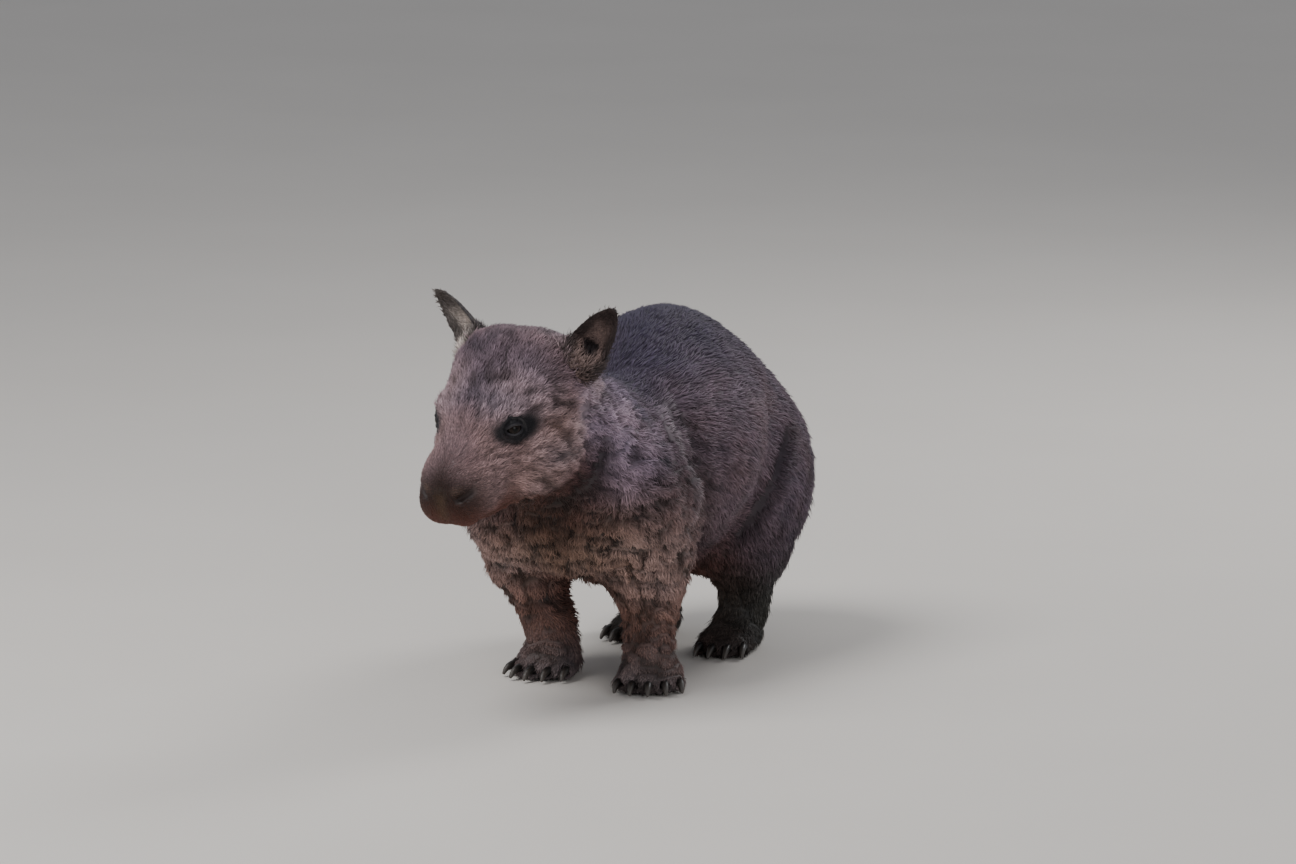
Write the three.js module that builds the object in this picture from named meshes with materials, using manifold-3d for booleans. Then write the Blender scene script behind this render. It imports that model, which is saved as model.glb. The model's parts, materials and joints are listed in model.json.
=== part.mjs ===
// A southern hairy-nosed wombat, life size, standing still on four feet with its head turned a little
// to its right. The flesh is one rounded body, shaped as a distance field of eggs and tapering limbs
// that run softly into one another. Its skin is meshed part by part and parted with thin cuts.
// Sizes are millimetres. +Z is up, the wombat faces -Y, and its left side is +X.
import * as THREE from "three";
import { mergeVertices } from "three/addons/utils/BufferGeometryUtils.js";
import Module from "manifold-3d";

const wasm = await Module();
wasm.setup();

// Driving sizes of the body, fur included
const GAP = 0.3; // between two parts that touch
const BACK_HEIGHT = 360; // floor to the top of the arched back
const BELLY_HEIGHT = 92; // floor to the lowest point of the belly
const BODY_WIDTH = 270; // the barrel at its widest
const CHEST_WIDTH = 206; // across the shoulders
const BODY_FRONT = -92; // y of the front of the chest; the left forefoot stands at y 0
const BODY_REAR = 350; // y of the rump
const NECK_WIDTH = 164;

// Head: local frames are level, face -Y, and have their origin between the cheekbones
const HEAD_AT = [-38, -156, 278];
const HEAD_TURN = 13; // degrees to its right
const HEAD_DROP = 17; // degrees nose down
const HEAD_LENGTH = 212;
const HEAD_WIDTH = 152;
const HEAD_HEIGHT = 140;
const EYE_RADIUS = 8.5;
const LID_THICKNESS = 2.2;
const EYE_OPENING = [15, 10];
const EAR_LENGTH = 71; // out of the fur, from base to tip
const EAR_WIDTH = 42;
const EAR_RIM = 2.4; // thickness of the cup's wall

// Feet: where each stands, and how far it turns outwards, in degrees
const FEET = {
  fore_left: { at: [62, -2], turn: 20, side: 1 },
  fore_right: { at: [-59, 26], turn: -8, side: -1 },
  hind_left: { at: [66, 208], turn: 8, side: 1 },
  hind_right: { at: [-44, 246], turn: -6, side: -1 },
};
const WRIST_HEIGHT = 38; // where a foot parts from its leg
const PAW_WIDTH = 74;
const CLAW_LENGTH = 10; // in front of its toe
const CLAW_WIDTH = 9.6;
const CLAW_TIP = 3.6;
const TAIL_LENGTH = 26;
const ROOT = 12; // how far an ear or the tail is let into the body

const degrees = THREE.MathUtils.degToRad;
const lerp = THREE.MathUtils.lerp;
const vector = (list) => new THREE.Vector3(...list);

// Distance fields: each is a function of a point, negative inside

// A frame at a place, turned about Z by yaw and then tipped nose down by drop, both in degrees
function frameAt(place, yaw = 0, drop = 0) {
  const turn = new THREE.Euler(degrees(drop), 0, degrees(yaw), "ZYX");
  return new THREE.Matrix4().makeRotationFromEuler(turn).setPosition(...place);
}

function inFrame(frame, field) {
  const back = frame.clone().invert();
  const local = new THREE.Vector3();
  return (p) => field(local.copy(p).applyMatrix4(back).clone());
}

function egg(centre, radii) {
  const [x, y, z] = centre;
  const [a, b, c] = radii;
  return (p) => {
    const scaled = Math.hypot((p.x - x) / a, (p.y - y) / b, (p.z - z) / c);
    const slope = Math.hypot((p.x - x) / (a * a), (p.y - y) / (b * b), (p.z - z) / (c * c));
    return slope < 1e-9 ? -Math.min(a, b, c) : (scaled * (scaled - 1)) / slope;
  };
}

function limb(from, to, fromRadius, toRadius) {
  const line = new THREE.Line3(vector(from), vector(to));
  const near = new THREE.Vector3();
  return (p) => {
    const share = line.closestPointToPointParameter(p, true);
    return p.distanceTo(line.at(share, near)) - lerp(fromRadius, toRadius, share);
  };
}

// Joins fields with a fillet about as wide as blend
function soft(blend, ...fields) {
  return (p) => {
    let least = fields[0](p);
    for (const field of fields.slice(1)) {
      const other = field(p);
      const mix = Math.max(blend - Math.abs(least - other), 0) / blend;
      least = Math.min(least, other) - (mix * mix * blend) / 4;
    }
    return least;
  };
}

// Hollows a field with another, with a rounded edge
function hollow(blend, field, cutter) {
  const kept = (p) => -cutter(p);
  return (p) => {
    const a = field(p);
    const b = kept(p);
    const mix = Math.max(blend - Math.abs(a - b), 0) / blend;
    return Math.max(a, b) + (mix * mix * blend) / 4;
  };
}

const both = (x, y, z) => [
  [x, y, z],
  [-x, y, z],
];

// Torso: barrel, arched back, rump, chest and the root of the neck
const bellyMid = (BACK_HEIGHT + BELLY_HEIGHT) / 2;
const torsoField = soft(
  50,
  egg([0, 160, bellyMid - 14], [BODY_WIDTH / 2, 172, bellyMid - 14 - BELLY_HEIGHT]),
  egg([0, 186, BACK_HEIGHT - 98], [BODY_WIDTH * 0.275, 96, 94]),
  egg([0, BODY_REAR - 118, 190], [BODY_WIDTH * 0.41, 118, 108]),
  egg([-10, BODY_FRONT + 92, 196], [CHEST_WIDTH / 2 - 8, 92, 90]),
  egg([-18, -56, 258], [NECK_WIDTH / 2, 84, 80]),
);

// Legs: shoulder, upper arm and forearm, and haunch, thigh and shin
function foreLegField(foot) {
  const [x, y] = foot.at;
  const s = foot.side;
  const shoulder = s > 0 ? 66 : -90;
  const elbow = [s > 0 ? 56 : -94, y + 14, 118];
  return soft(
    26,
    egg([shoulder, -8, 188], [40, 62, 66]),
    limb([shoulder, 2, 172], elbow, 45, 37),
    limb(elbow, [x - 4 * s, y + 4, WRIST_HEIGHT], 36, 24.5),
  );
}

function hindLegField(foot) {
  const [x, y] = foot.at;
  const s = foot.side;
  const knee = [s * 80, y + 10, 112];
  return soft(
    26,
    egg([s * 80, 244, 170], [50, 92, 84]),
    limb([s * 80, 232, 158], knee, 54, 42),
    limb(knee, [x + 6 * s, y + 36, WRIST_HEIGHT + 6], 38, 25),
  );
}

// Paws: a broad palm with a fan of toes. Toe places are in the paw's frame, on the floor
const FORE_TOES = [-31, -17, -1, 15, 29].map((x, i) => ({ x, y: [-18, -30, -34, -30, -17][i], lean: x * 0.4 }));
const HIND_TOES = [-22, -8, 7, 21].map((x, i) => ({ x, y: [-38, -44, -43, -34][i], lean: x * 0.4 }));
const TOE_RADIUS = 9.5;

const pawFrame = (foot) => frameAt([...foot.at, 0], foot.turn);

function pawField(foot, isFore) {
  const toes = isFore ? FORE_TOES : HIND_TOES;
  const palm = isFore
    ? egg([0, 4, 15], [PAW_WIDTH / 2 - 4, 32, 21])
    : egg([0, 4, 13], [PAW_WIDTH / 2 - 6, 46, 18]);
  const shank = isFore ? limb([0, 6, 24], [0, 6, 60], 24, 24) : limb([0, 28, 22], [0, 34, 64], 23, 24);
  const toeForms = toes.map(({ x, y }) =>
    limb([x * foot.side * 0.72, y * 0.35, 14], [x * foot.side, y, TOE_RADIUS - 1], TOE_RADIUS + 2, TOE_RADIUS),
  );
  const thumb = isFore ? [] : [egg([-26 * foot.side, -8, 12], [9, 12, 9])];
  return inFrame(pawFrame(foot), soft(7, soft(20, palm, shank), ...toeForms, ...thumb));
}

// Head: cranium, forehead, cheeks, muzzle, nose, jaw, brows and lips, with the eyes in shallow hollows
const headFrame = frameAt(HEAD_AT, -HEAD_TURN, HEAD_DROP);
const halfHead = HEAD_WIDTH / 2;
const noseTip = -HEAD_LENGTH * 0.485;
const crown = HEAD_HEIGHT * 0.64;
const headCore = soft(
  24,
  ...both(halfHead - 53, 50, crown - 63.5).map((at) => egg(at, [50, 60, 63])),
  egg([0, 4, 18], [halfHead - 22, 62, 44]),
  ...both(halfHead - 36, 10, -20).map((at) => egg(at, [36, 50, 42])),
  egg([0, noseTip + 56, -14], [41, 46, 35]),
  egg([0, noseTip + 29, -22], [39, 29, 31]),
  egg([0, -32, -44], [32, 46, 22]),
  egg([0, 34, -32], [54, 52, 40]),
);
const eyePlace = [halfHead - 28, -30, 23];
const eyeHollows = (p) => Math.min(...both(halfHead - 4, -36, 20).map((at) => egg(at, [14, 22, 15])(p)));
const headField = soft(
  12,
  hollow(22, headCore, eyeHollows),
  ...both(halfHead - 38, -12, 36).map((at) => egg(at, [15, 26, 12])),
  ...both(15, noseTip + 11, -36).map((at) => egg(at, [20, 15, 20])),
);

const legFields = [
  foreLegField(FEET.fore_left),
  foreLegField(FEET.fore_right),
  hindLegField(FEET.hind_left),
  hindLegField(FEET.hind_right),
];

// Creases: hollows along a row of places that lie just off the skin, on both sides
function crease(radius, placesOf) {
  const limbs = [1, -1].flatMap((side) => {
    const places = placesOf(side);
    return places.slice(1).map((at, i) => limb(places[i], at, radius, radius));
  });
  return (p) => Math.min(...limbs.map((field) => field(p)));
}

// Between the flank and the thigh, and behind the shoulder
const thighCrease = crease(16, (s) => [[s * 133, 193, 256], [s * 142, 155, 201], [s * 119, 128, 145], [s * 96, 136, 112]]);
const shoulderCrease = crease(16, (s) => {
  const spread = s > 0 ? 0 : -18;
  return [[60, 30, 306], [94, 8, 276], [122, 3, 214], [121, 6, 158]].map(([x, y, z]) => [s * x + spread, y, z]);
});
const bodyCreases = (p) => Math.min(thighCrease(p), shoulderCrease(p));
const bodyField = hollow(26, soft(34, torsoField, ...legFields), bodyCreases);

// Behind the cheek and under the jaw, in the head's frame
const cheekCrease = crease(13, (s) => [[s * 78, 66, -22], [s * 79, 55, -46], [s * 73, 44, -68], [s * 60, 30, -84], [s * 40, 16, -93]]);
const throatHollow = crease(20, (s) => [[s * 52, 34, -112], [0, 14, -112]]);
const jawCreases = (p) => Math.min(cheekCrease(p), throatHollow(p));
const pawFields = [
  pawField(FEET.fore_left, true),
  pawField(FEET.fore_right, true),
  pawField(FEET.hind_left, false),
  pawField(FEET.hind_right, false),
];
const headAndBody = soft(26, bodyField, inFrame(headFrame, headField));
const skinField = soft(12, hollow(14, headAndBody, inFrame(headFrame, jawCreases)), ...pawFields);

// Solids

function solidOf(geometry) {
  const bare = geometry.index ? geometry.toNonIndexed() : geometry.clone();
  bare.deleteAttribute("normal");
  bare.deleteAttribute("uv");
  const merged = mergeVertices(bare, 1e-4);
  return new wasm.Manifold(
    new wasm.Mesh({
      numProp: 3,
      vertProperties: merged.attributes.position.array,
      triVerts: new Uint32Array(merged.index.array),
    }),
  );
}

function geometryOf(solid) {
  const { vertProperties, triVerts } = solid.getMesh();
  const geometry = new THREE.BufferGeometry();
  geometry.setAttribute("position", new THREE.BufferAttribute(vertProperties, 3));
  geometry.setIndex(new THREE.BufferAttribute(triVerts, 1));
  return geometry;
}

const largest = (solid) => solid.decompose().sort((a, b) => b.volume() - a.volume())[0];

// Meshes where a field crosses level zero, in a grid of cells of one step that fills a box of a frame:
// one vertex in each cell that the surface crosses, pulled onto it, and one square round each grid edge
// that the surface crosses
function skinOf(field, frame, low, high, step) {
  const count = low.map((v, i) => Math.ceil((high[i] - v) / step) + 1);
  const index = (i, j, k) => i + count[0] * (j + count[1] * k);
  const placeOf = (i, j, k) => new THREE.Vector3(low[0] + i * step, low[1] + j * step, low[2] + k * step);
  const valueAt = (p) => field(p.clone().applyMatrix4(frame));
  const values = new Float64Array(count[0] * count[1] * count[2]);
  const eachCell = (margin, visit) => {
    for (let k = 0; k < count[2] - margin; k++)
      for (let j = 0; j < count[1] - margin; j++) for (let i = 0; i < count[0] - margin; i++) visit(i, j, k);
  };
  eachCell(0, (i, j, k) => {
    const onBorder = [i, j, k].some((v, axis) => v === 0 || v === count[axis] - 1);
    const value = valueAt(placeOf(i, j, k));
    values[index(i, j, k)] = onBorder ? Math.max(value, step * 0.1) : value;
  });

  const positions = [];
  const vertexOf = new Map();
  eachCell(1, (i, j, k) => {
    const corners = [0, 1, 2, 3, 4, 5, 6, 7].map((c) => [i + (c & 1), j + ((c >> 1) & 1), k + (c >> 2)]);
    const sum = new THREE.Vector3();
    let crossings = 0;
    for (let a = 0; a < 8; a++)
      for (const bit of [1, 2, 4]) {
        if (a & bit) continue;
        const va = values[index(...corners[a])];
        const vb = values[index(...corners[a | bit])];
        if (va < 0 === vb < 0) continue;
        sum.add(placeOf(...corners[a]).lerp(placeOf(...corners[a | bit]), va / (va - vb)));
        crossings++;
      }
    if (!crossings) return;
    const p = sum.divideScalar(crossings);
    const inside = [i, j, k].every((v, axis) => v > 0 && v < count[axis] - 2);
    if (inside) pullOnto(valueAt, p, step * 0.4);
    vertexOf.set(index(i, j, k), positions.length / 3);
    positions.push(...p.toArray());
  });

  const triangles = [];
  const around = [
    [[0, 0, 0], [0, -1, 0], [0, -1, -1], [0, 0, -1]],
    [[0, 0, 0], [0, 0, -1], [-1, 0, -1], [-1, 0, 0]],
    [[0, 0, 0], [-1, 0, 0], [-1, -1, 0], [0, -1, 0]],
  ];
  const cornerAt = (v) => new THREE.Vector3().fromArray(positions, v * 3);
  eachCell(1, (i, j, k) => {
    const here = values[index(i, j, k)] < 0;
    around.forEach((ring, axis) => {
      const next = [i, j, k].map((v, n) => v + (n === axis ? 1 : 0));
      if (here === values[index(...next)] < 0) return;
      const square = ring.map(([a, b, c]) => vertexOf.get(index(i + a, j + b, k + c)));
      if (here) square.reverse();
      const [a, b, c, d] = square;
      const shortAC = cornerAt(a).distanceTo(cornerAt(c)) < cornerAt(b).distanceTo(cornerAt(d));
      triangles.push(...(shortAC ? [a, c, b, a, d, c] : [a, d, b, b, d, c]));
    });
  });
  const geometry = new THREE.BufferGeometry();
  geometry.setAttribute("position", new THREE.Float32BufferAttribute(positions, 3));
  geometry.setIndex(triangles);
  return solidOf(geometry.applyMatrix4(frame));
}

// Moves a point down or up a field's slope onto level zero, by at most reach in each of a few steps
function pullOnto(field, p, reach, steps = 3) {
  const probe = 0.2;
  for (let n = 0; n < steps; n++) {
    const value = field(p);
    const slope = new THREE.Vector3(
      field(p.clone().add(new THREE.Vector3(probe, 0, 0))) - value,
      field(p.clone().add(new THREE.Vector3(0, probe, 0))) - value,
      field(p.clone().add(new THREE.Vector3(0, 0, probe))) - value,
    ).divideScalar(probe);
    const move = THREE.MathUtils.clamp(value / Math.max(slope.lengthSq(), 0.2), -reach, reach);
    p.addScaledVector(slope, -move);
  }
  return p;
}

const level = new THREE.Matrix4();

// A closed skin over a row of rings with equal counts of points, each ring turning left about the way
// ahead, and capped round its middle at both ends
function loft(rings) {
  const sides = rings[0].length;
  const middle = (ring) => ring.reduce((sum, p) => sum.add(p), new THREE.Vector3()).divideScalar(sides);
  const points = [middle(rings[0]), ...rings.flat(), middle(rings.at(-1))];
  const last = points.length - 1;
  const triangles = [];
  for (let j = 0; j < sides; j++) {
    const next = (j + 1) % sides;
    triangles.push(0, 1 + next, 1 + j, last, last - sides + j, last - sides + next);
    for (let here = 1; here + sides < last; here += sides) {
      const there = here + sides;
      triangles.push(here + j, here + next, there + next, here + j, there + next, there + j);
    }
  }
  const geometry = new THREE.BufferGeometry().setFromPoints(points);
  geometry.setIndex(triangles);
  return geometry;
}

// A point of a section: u to one side and v to the back of a place on the way along axis
function sectionPoint(centre, axis, side, u, v) {
  const backwards = new THREE.Vector3().crossVectors(axis, side);
  return centre.clone().addScaledVector(side, u).addScaledVector(backwards, v);
}

// An ear in the head's frame: a pointed cup, closed round at its root and open to the front above it.
// Extra makes it thicker all round, for the socket that it stands in
function earShape(side, extra = 0) {
  const base = new THREE.Vector3(side * (halfHead - 12), 66, crown - 36);
  const axis = new THREE.Vector3(side * 0.59, 0.3, 0.75).normalize();
  const facing = new THREE.Vector3(side * 0.35, -1, 0.12).projectOnPlane(axis).normalize();
  const across = new THREE.Vector3().crossVectors(axis, facing);
  const rows = 11;
  const arcs = 9;
  const rings = [];
  for (let i = 0; i <= rows; i++) {
    const t = i / rows;
    const along = lerp(-ROOT - extra, EAR_LENGTH + extra, t);
    const half = (EAR_WIDTH / 2) * Math.sin(Math.PI * lerp(0.3, 0.985, t)) ** 0.6 + 0.5 + extra;
    const depth = half * 0.72;
    const cup = THREE.MathUtils.smoothstep(t, 0.12, 0.42) * (1 - THREE.MathUtils.smoothstep(t, 0.9, 1));
    const inner = lerp(-half * 0.6, depth - EAR_RIM, cup) - extra;
    const lean = 7 * t * t;
    const centre = base.clone().addScaledVector(axis, along).addScaledVector(facing, lean);
    const ring = [];
    for (let j = 0; j < arcs; j++) {
      const angle = (Math.PI * j) / (arcs - 1);
      ring.push(sectionPoint(centre, axis, across, half * Math.cos(angle), depth * Math.sin(angle)));
    }
    for (let j = 1; j <= arcs - 2; j++) {
      const angle = Math.PI * (1 - j / (arcs - 1));
      const u = Math.max(half - EAR_RIM * cup, half * 0.6) * Math.cos(angle);
      ring.push(sectionPoint(centre, axis, across, u, inner * Math.sin(angle)));
    }
    rings.push(ring);
  }
  return loft(rings);
}

// A claw or the tail: a horn of round sections that thins and bends along a curve of three points
function hornShape(points, width, tipWidth, { rows, sides, extra = 0 }) {
  const curve = new THREE.QuadraticBezierCurve3(...points);
  const rings = [];
  for (let i = 0; i <= rows; i++) {
    const t = i / rows;
    const axis = curve.getTangent(t);
    const side = new THREE.Vector3(0, 0, 1).cross(axis).normalize();
    const radius = lerp(width, tipWidth, t ** 1.6) / 2 + extra;
    const centre = curve.getPoint(t).addScaledVector(axis, i === 0 ? -extra : 0);
    const ring = [];
    for (let j = 0; j < sides; j++) {
      const angle = (2 * Math.PI * j) / sides;
      ring.push(sectionPoint(centre, axis, side, radius * Math.cos(angle), radius * Math.sin(angle)));
    }
    rings.push(ring);
  }
  return loft(rings);
}

// Everything on the far side of a plane: a big block whose near face lies on the plane, moved by shift
function beyond(point, normal, shift) {
  const size = 1200;
  const n = vector(normal).normalize();
  const turn = new THREE.Quaternion().setFromUnitVectors(new THREE.Vector3(0, 0, 1), n);
  const block = new THREE.BoxGeometry(size, size, size).translate(0, 0, size / 2 + shift);
  return solidOf(block.applyQuaternion(turn).translate(...point));
}

function block(low, high) {
  const size = high.map((v, i) => v - low[i]);
  return solidOf(new THREE.BoxGeometry(...size).translate(...low.map((v, i) => v + size[i] / 2)));
}

// The room of one leg, grown by extra on each side: an arch over the haunch, and the column below it
function legRoom({ side }, { inner, arch, radius, top, middle }, extra) {
  const outline = new THREE.Shape();
  const r = radius + extra;
  outline.moveTo(arch - r, -60);
  outline.lineTo(arch + r, -60);
  outline.lineTo(arch + r, top);
  outline.absarc(arch, top, r, 0, Math.PI, false);
  outline.closePath();
  const deep = 260;
  const shell = new THREE.ExtrudeGeometry(outline, { depth: deep, bevelEnabled: false, curveSegments: 14 });
  // The outline's own x and y become the body's y and z
  shell.applyMatrix4(new THREE.Matrix4().set(0, 0, 1, 0, 1, 0, 0, 0, 0, 1, 0, 0, 0, 0, 0, 1));
  shell.translate(side > 0 ? inner - extra : -inner - deep + extra, 0, 0);
  const near = side > 0 ? middle - extra : -deep;
  const far = side > 0 ? deep : middle + extra;
  const column = block([near, arch - r, -60], [far, arch + r, BELLY_HEIGHT - 4 + extra]);
  return solidOf(shell).add(column);
}

const FORE_ROOM = { inner: 36, arch: 8, radius: 74, top: 166, middle: 0 };
const HIND_ROOM = { inner: 34, arch: 240, radius: 92, top: 146, middle: 8 };
const roomOf = (name) => (name.startsWith("fore") ? FORE_ROOM : HIND_ROOM);

// Planes that part the head from the neck and the neck from the chest
const HEAD_CUT = { point: [-22, -104, 296], normal: [-0.2, -0.86, 0.46] };
const NECK_CUT = { point: [-10, -30, 300], normal: [-0.06, -0.8, 0.6] };
const ahead = (cut, shift) => beyond(cut.point, cut.normal, shift);

const wombat = new THREE.Group();
const addPart = (name, solid, material) => {
  const mesh = new THREE.Mesh(geometryOf(largest(solid)), material);
  mesh.name = name;
  wombat.add(mesh);
  return mesh;
};

const coat = new THREE.MeshStandardMaterial({ color: 0x7a6f6b, roughness: 0.9, metalness: 0 });
const darkCoat = new THREE.MeshStandardMaterial({ color: 0x4a4340, roughness: 0.9, metalness: 0 });
const horn = new THREE.MeshStandardMaterial({ color: 0x8d857c, roughness: 0.45, metalness: 0 });
const eyeGloss = new THREE.MeshStandardMaterial({ color: 0x120d0b, roughness: 0.08, metalness: 0 });

// Torso
const torsoSkin = skinOf(skinField, level, [-180, -144, 64], [180, 400, 394], 23);
const legRooms = Object.entries(FEET).map(([name, foot]) => legRoom(foot, roomOf(name), GAP));
const torso = legRooms.reduce((kept, room) => kept.subtract(room), torsoSkin.subtract(ahead(NECK_CUT, -GAP / 2)));

// Tail: a short stub under the rump, let into it
const tailRoot = pullOnto(skinField, new THREE.Vector3(0, BODY_REAR, 160), 20, 6);
const tailWay = new THREE.Vector3(0, 0.72, -0.7);
const tailPoints = [-ROOT, TAIL_LENGTH * 0.5, TAIL_LENGTH].map((along) => tailRoot.clone().addScaledVector(tailWay, along));
const tailShape = (extra) => hornShape(tailPoints, 24, 9, { rows: 5, sides: 10, extra });
addPart("torso", torso.subtract(solidOf(tailShape(GAP))), coat);
addPart("tail", solidOf(tailShape(0)), coat);

// Neck
const neckSkin = skinOf(skinField, level, [-140, -200, 110], [140, 60, 410], 18);
addPart("neck", neckSkin.intersect(ahead(NECK_CUT, GAP / 2)).subtract(ahead(HEAD_CUT, -GAP / 2)), coat);

// Legs, feet and claws
Object.entries(FEET).forEach(([name, foot]) => {
  const isFore = name.startsWith("fore");
  const room = legRoom(foot, roomOf(name), 0);
  const { arch, radius, top } = roomOf(name);
  const low = [foot.side > 0 ? -20 : -172, arch - radius - 20, 10];
  const high = [foot.side > 0 ? 175 : 20, arch + radius + 20, top + radius + 20];
  const above = beyond([0, 0, WRIST_HEIGHT], [0, 0, 1], GAP / 2);
  addPart(`leg_${name}`, skinOf(skinField, level, low, high, 17).intersect(room).intersect(above), coat);

  const reach = isFore ? 64 : 78;
  const pawSkin = skinOf(skinField, pawFrame(foot), [-56, -reach, -30], [56, reach, 64], 9);
  const paw = pawSkin.intersect(room).subtract(beyond([0, 0, WRIST_HEIGHT], [0, 0, 1], -GAP / 2));
  let bare = paw.subtract(beyond([0, 0, 0], [0, 0, -1], 0));
  const claws = (isFore ? FORE_TOES : HIND_TOES).map(({ x, y, lean }) => {
    const way = new THREE.Vector3(Math.sin(degrees(lean)) * foot.side, -Math.cos(degrees(lean)), 0);
    const toe = new THREE.Vector3(x * foot.side, y, 0);
    const rises = [[-2, 11], [TOE_RADIUS + CLAW_LENGTH * 0.5, 13], [TOE_RADIUS + CLAW_LENGTH, CLAW_TIP / 2 + 1]];
    const points = rises.map(([along, height]) => toe.clone().addScaledVector(way, along).setZ(height));
    return (extra) => hornShape(points, CLAW_WIDTH, CLAW_TIP, { rows: 4, sides: 6, extra }).applyMatrix4(pawFrame(foot));
  });
  claws.forEach((clawShape, i) => {
    bare = bare.subtract(solidOf(clawShape(GAP)));
    addPart(`claw_${name}_${i + 1}`, solidOf(clawShape(0)), horn);
  });
  addPart(`foot_${name}`, bare, darkCoat);
});

// Head, with a ball of lids round each eye, an opening between the lids, the nostrils and the mouth
const placed = (geometry) => solidOf(geometry.applyMatrix4(headFrame));
const ball = (radius, at, around = 16) => new THREE.SphereGeometry(radius, around, around / 2).translate(...at);
let head = skinOf(skinField, headFrame, [-104, -124, -116], [106, 140, 114], 9).intersect(ahead(HEAD_CUT, GAP / 2));
[["left", 1], ["right", -1]].forEach(([name, side]) => {
  const outwards = new THREE.Vector3(side * 0.8, -0.58, 0.14).normalize();
  const surface = pullOnto(headField, new THREE.Vector3(side * eyePlace[0], eyePlace[1], eyePlace[2]), 8, 5);
  const centre = surface.addScaledVector(outwards, 2 - EYE_RADIUS).toArray();
  const opening = new THREE.Shape();
  const [wide, tall] = EYE_OPENING;
  opening.moveTo(-wide / 2, 0);
  opening.quadraticCurveTo(0, -tall, wide / 2, 0);
  opening.quadraticCurveTo(0, tall, -wide / 2, 0);
  const gape = new THREE.ExtrudeGeometry(opening, { depth: 3 * EYE_RADIUS, bevelEnabled: false, curveSegments: 6 });
  const across = new THREE.Vector3(0, 0, 1).cross(outwards).normalize();
  const upwards = new THREE.Vector3().crossVectors(outwards, across);
  gape.applyMatrix4(new THREE.Matrix4().makeBasis(across, upwards, outwards)).translate(...centre);
  head = head.add(placed(ball(EYE_RADIUS + LID_THICKNESS, centre)));
  head = head.subtract(placed(ball(EYE_RADIUS + GAP, centre))).subtract(placed(gape));
  addPart(`eye_${name}`, placed(ball(EYE_RADIUS, centre)), eyeGloss);

  head = head.subtract(placed(earShape(side, GAP)));
  addPart(`ear_${name}`, placed(earShape(side)), darkCoat);

  const nostril = new THREE.SphereGeometry(1, 10, 6).scale(7.5, 5, 3).rotateY(side * degrees(-24));
  head = head.subtract(placed(nostril.translate(side * 23, noseTip + 3, -20)));
});

const mouthGuide = [
  [-46, -12, -58],
  [-40, -40, -56],
  [-26, noseTip + 30, -56],
  [0, noseTip + 12, -50],
  [26, noseTip + 30, -56],
  [40, -40, -56],
  [46, -12, -58],
];
const mouthLine = new THREE.CatmullRomCurve3(mouthGuide.map((at) => pullOnto(headField, vector(at), 8, 5)));
const MOUTH_WIDTH = 3.2;
const mouthSection = new THREE.Shape().absarc(0, 0, MOUTH_WIDTH / 2, 0, 2 * Math.PI);
const mouth = new THREE.ExtrudeGeometry(mouthSection, {
  extrudePath: mouthLine,
  steps: 20,
  curveSegments: 3,
  bevelEnabled: false,
});
addPart("head", head.subtract(placed(mouth)), coat);

// The model's origin is on the floor, under the middle of its box
const middle = new THREE.Box3().setFromObject(wombat).getCenter(new THREE.Vector3());
wombat.position.set(-middle.x, -middle.y, 0);

export default wombat;
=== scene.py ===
# %% [markdown]
# # A southern hairy-nosed wombat
#
# This lesson dresses a solid wombat as a museum's taxidermist would. The wombat stands on all fours
# with its head turned a little to its right. Its solid form comes from a fixed frame, which is
# loaded first and never changed. The lesson adds one skin without seams, a coat of short locks that
# follows the body, wet eyes with lids, thin ears, horn claws, and the soft light of a studio.
#
# Blender works in metres, and an animal is easier to think of in millimetres, so mm() turns one
# into the other. Chance is drawn from one seeded source, so that each run gives the same wombat.

# %% Open the frame
import itertools
import json
import math

import bmesh
import bpy
import numpy as np
from mathutils import Matrix, Vector
from mathutils.bvhtree import BVHTree


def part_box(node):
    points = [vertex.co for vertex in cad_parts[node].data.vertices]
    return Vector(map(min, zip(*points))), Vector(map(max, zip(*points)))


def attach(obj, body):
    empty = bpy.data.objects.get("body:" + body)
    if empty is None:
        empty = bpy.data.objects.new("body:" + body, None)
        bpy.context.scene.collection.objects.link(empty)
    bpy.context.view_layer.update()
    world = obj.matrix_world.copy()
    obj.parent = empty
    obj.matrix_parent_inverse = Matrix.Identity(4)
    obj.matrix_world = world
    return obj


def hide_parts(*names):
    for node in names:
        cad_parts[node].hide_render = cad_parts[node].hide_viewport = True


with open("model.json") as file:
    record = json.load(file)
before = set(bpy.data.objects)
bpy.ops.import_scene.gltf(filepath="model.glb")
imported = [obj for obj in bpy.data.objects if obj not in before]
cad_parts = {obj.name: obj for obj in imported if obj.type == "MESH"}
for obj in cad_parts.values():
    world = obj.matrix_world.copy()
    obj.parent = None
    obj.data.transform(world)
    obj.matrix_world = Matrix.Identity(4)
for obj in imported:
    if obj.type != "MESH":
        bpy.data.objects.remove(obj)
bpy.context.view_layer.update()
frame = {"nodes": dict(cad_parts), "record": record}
rng = np.random.default_rng(7)


def mm(value):
    """Millimetres as metres, for one number or for many."""
    return np.asarray(value, float) * 0.001


# %% [markdown]
# ## The camera
#
# A long lens from far away keeps an animal's proportions: a near one would swell the nose. The
# camera could aim with a constraint, but then nothing says where a point of the picture lies. Here
# its axes are worked out one by one. One photo pixel shows one millimetre at the wombat, and the sole
# of its left forefoot lands on a chosen pixel, so that any pixel can be turned into a ray later on.

# %% Camera
CAMERA_AZIMUTH = math.radians(22)
CAMERA_HEIGHT = math.radians(10)
CAMERA_DISTANCE = 7.6
PHOTO_SIZE = (1296, 864)
SOLE_PIXEL = (652, 688)
SENSOR_WIDTH = 36
FAR_END = 60
PIXEL_AT_WOMBAT = mm(1)
SOLE = Vector([m["pos_m"] for m in frame["record"]["mounts"] if m["name"] == "sole_fore_left"][0])

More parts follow.
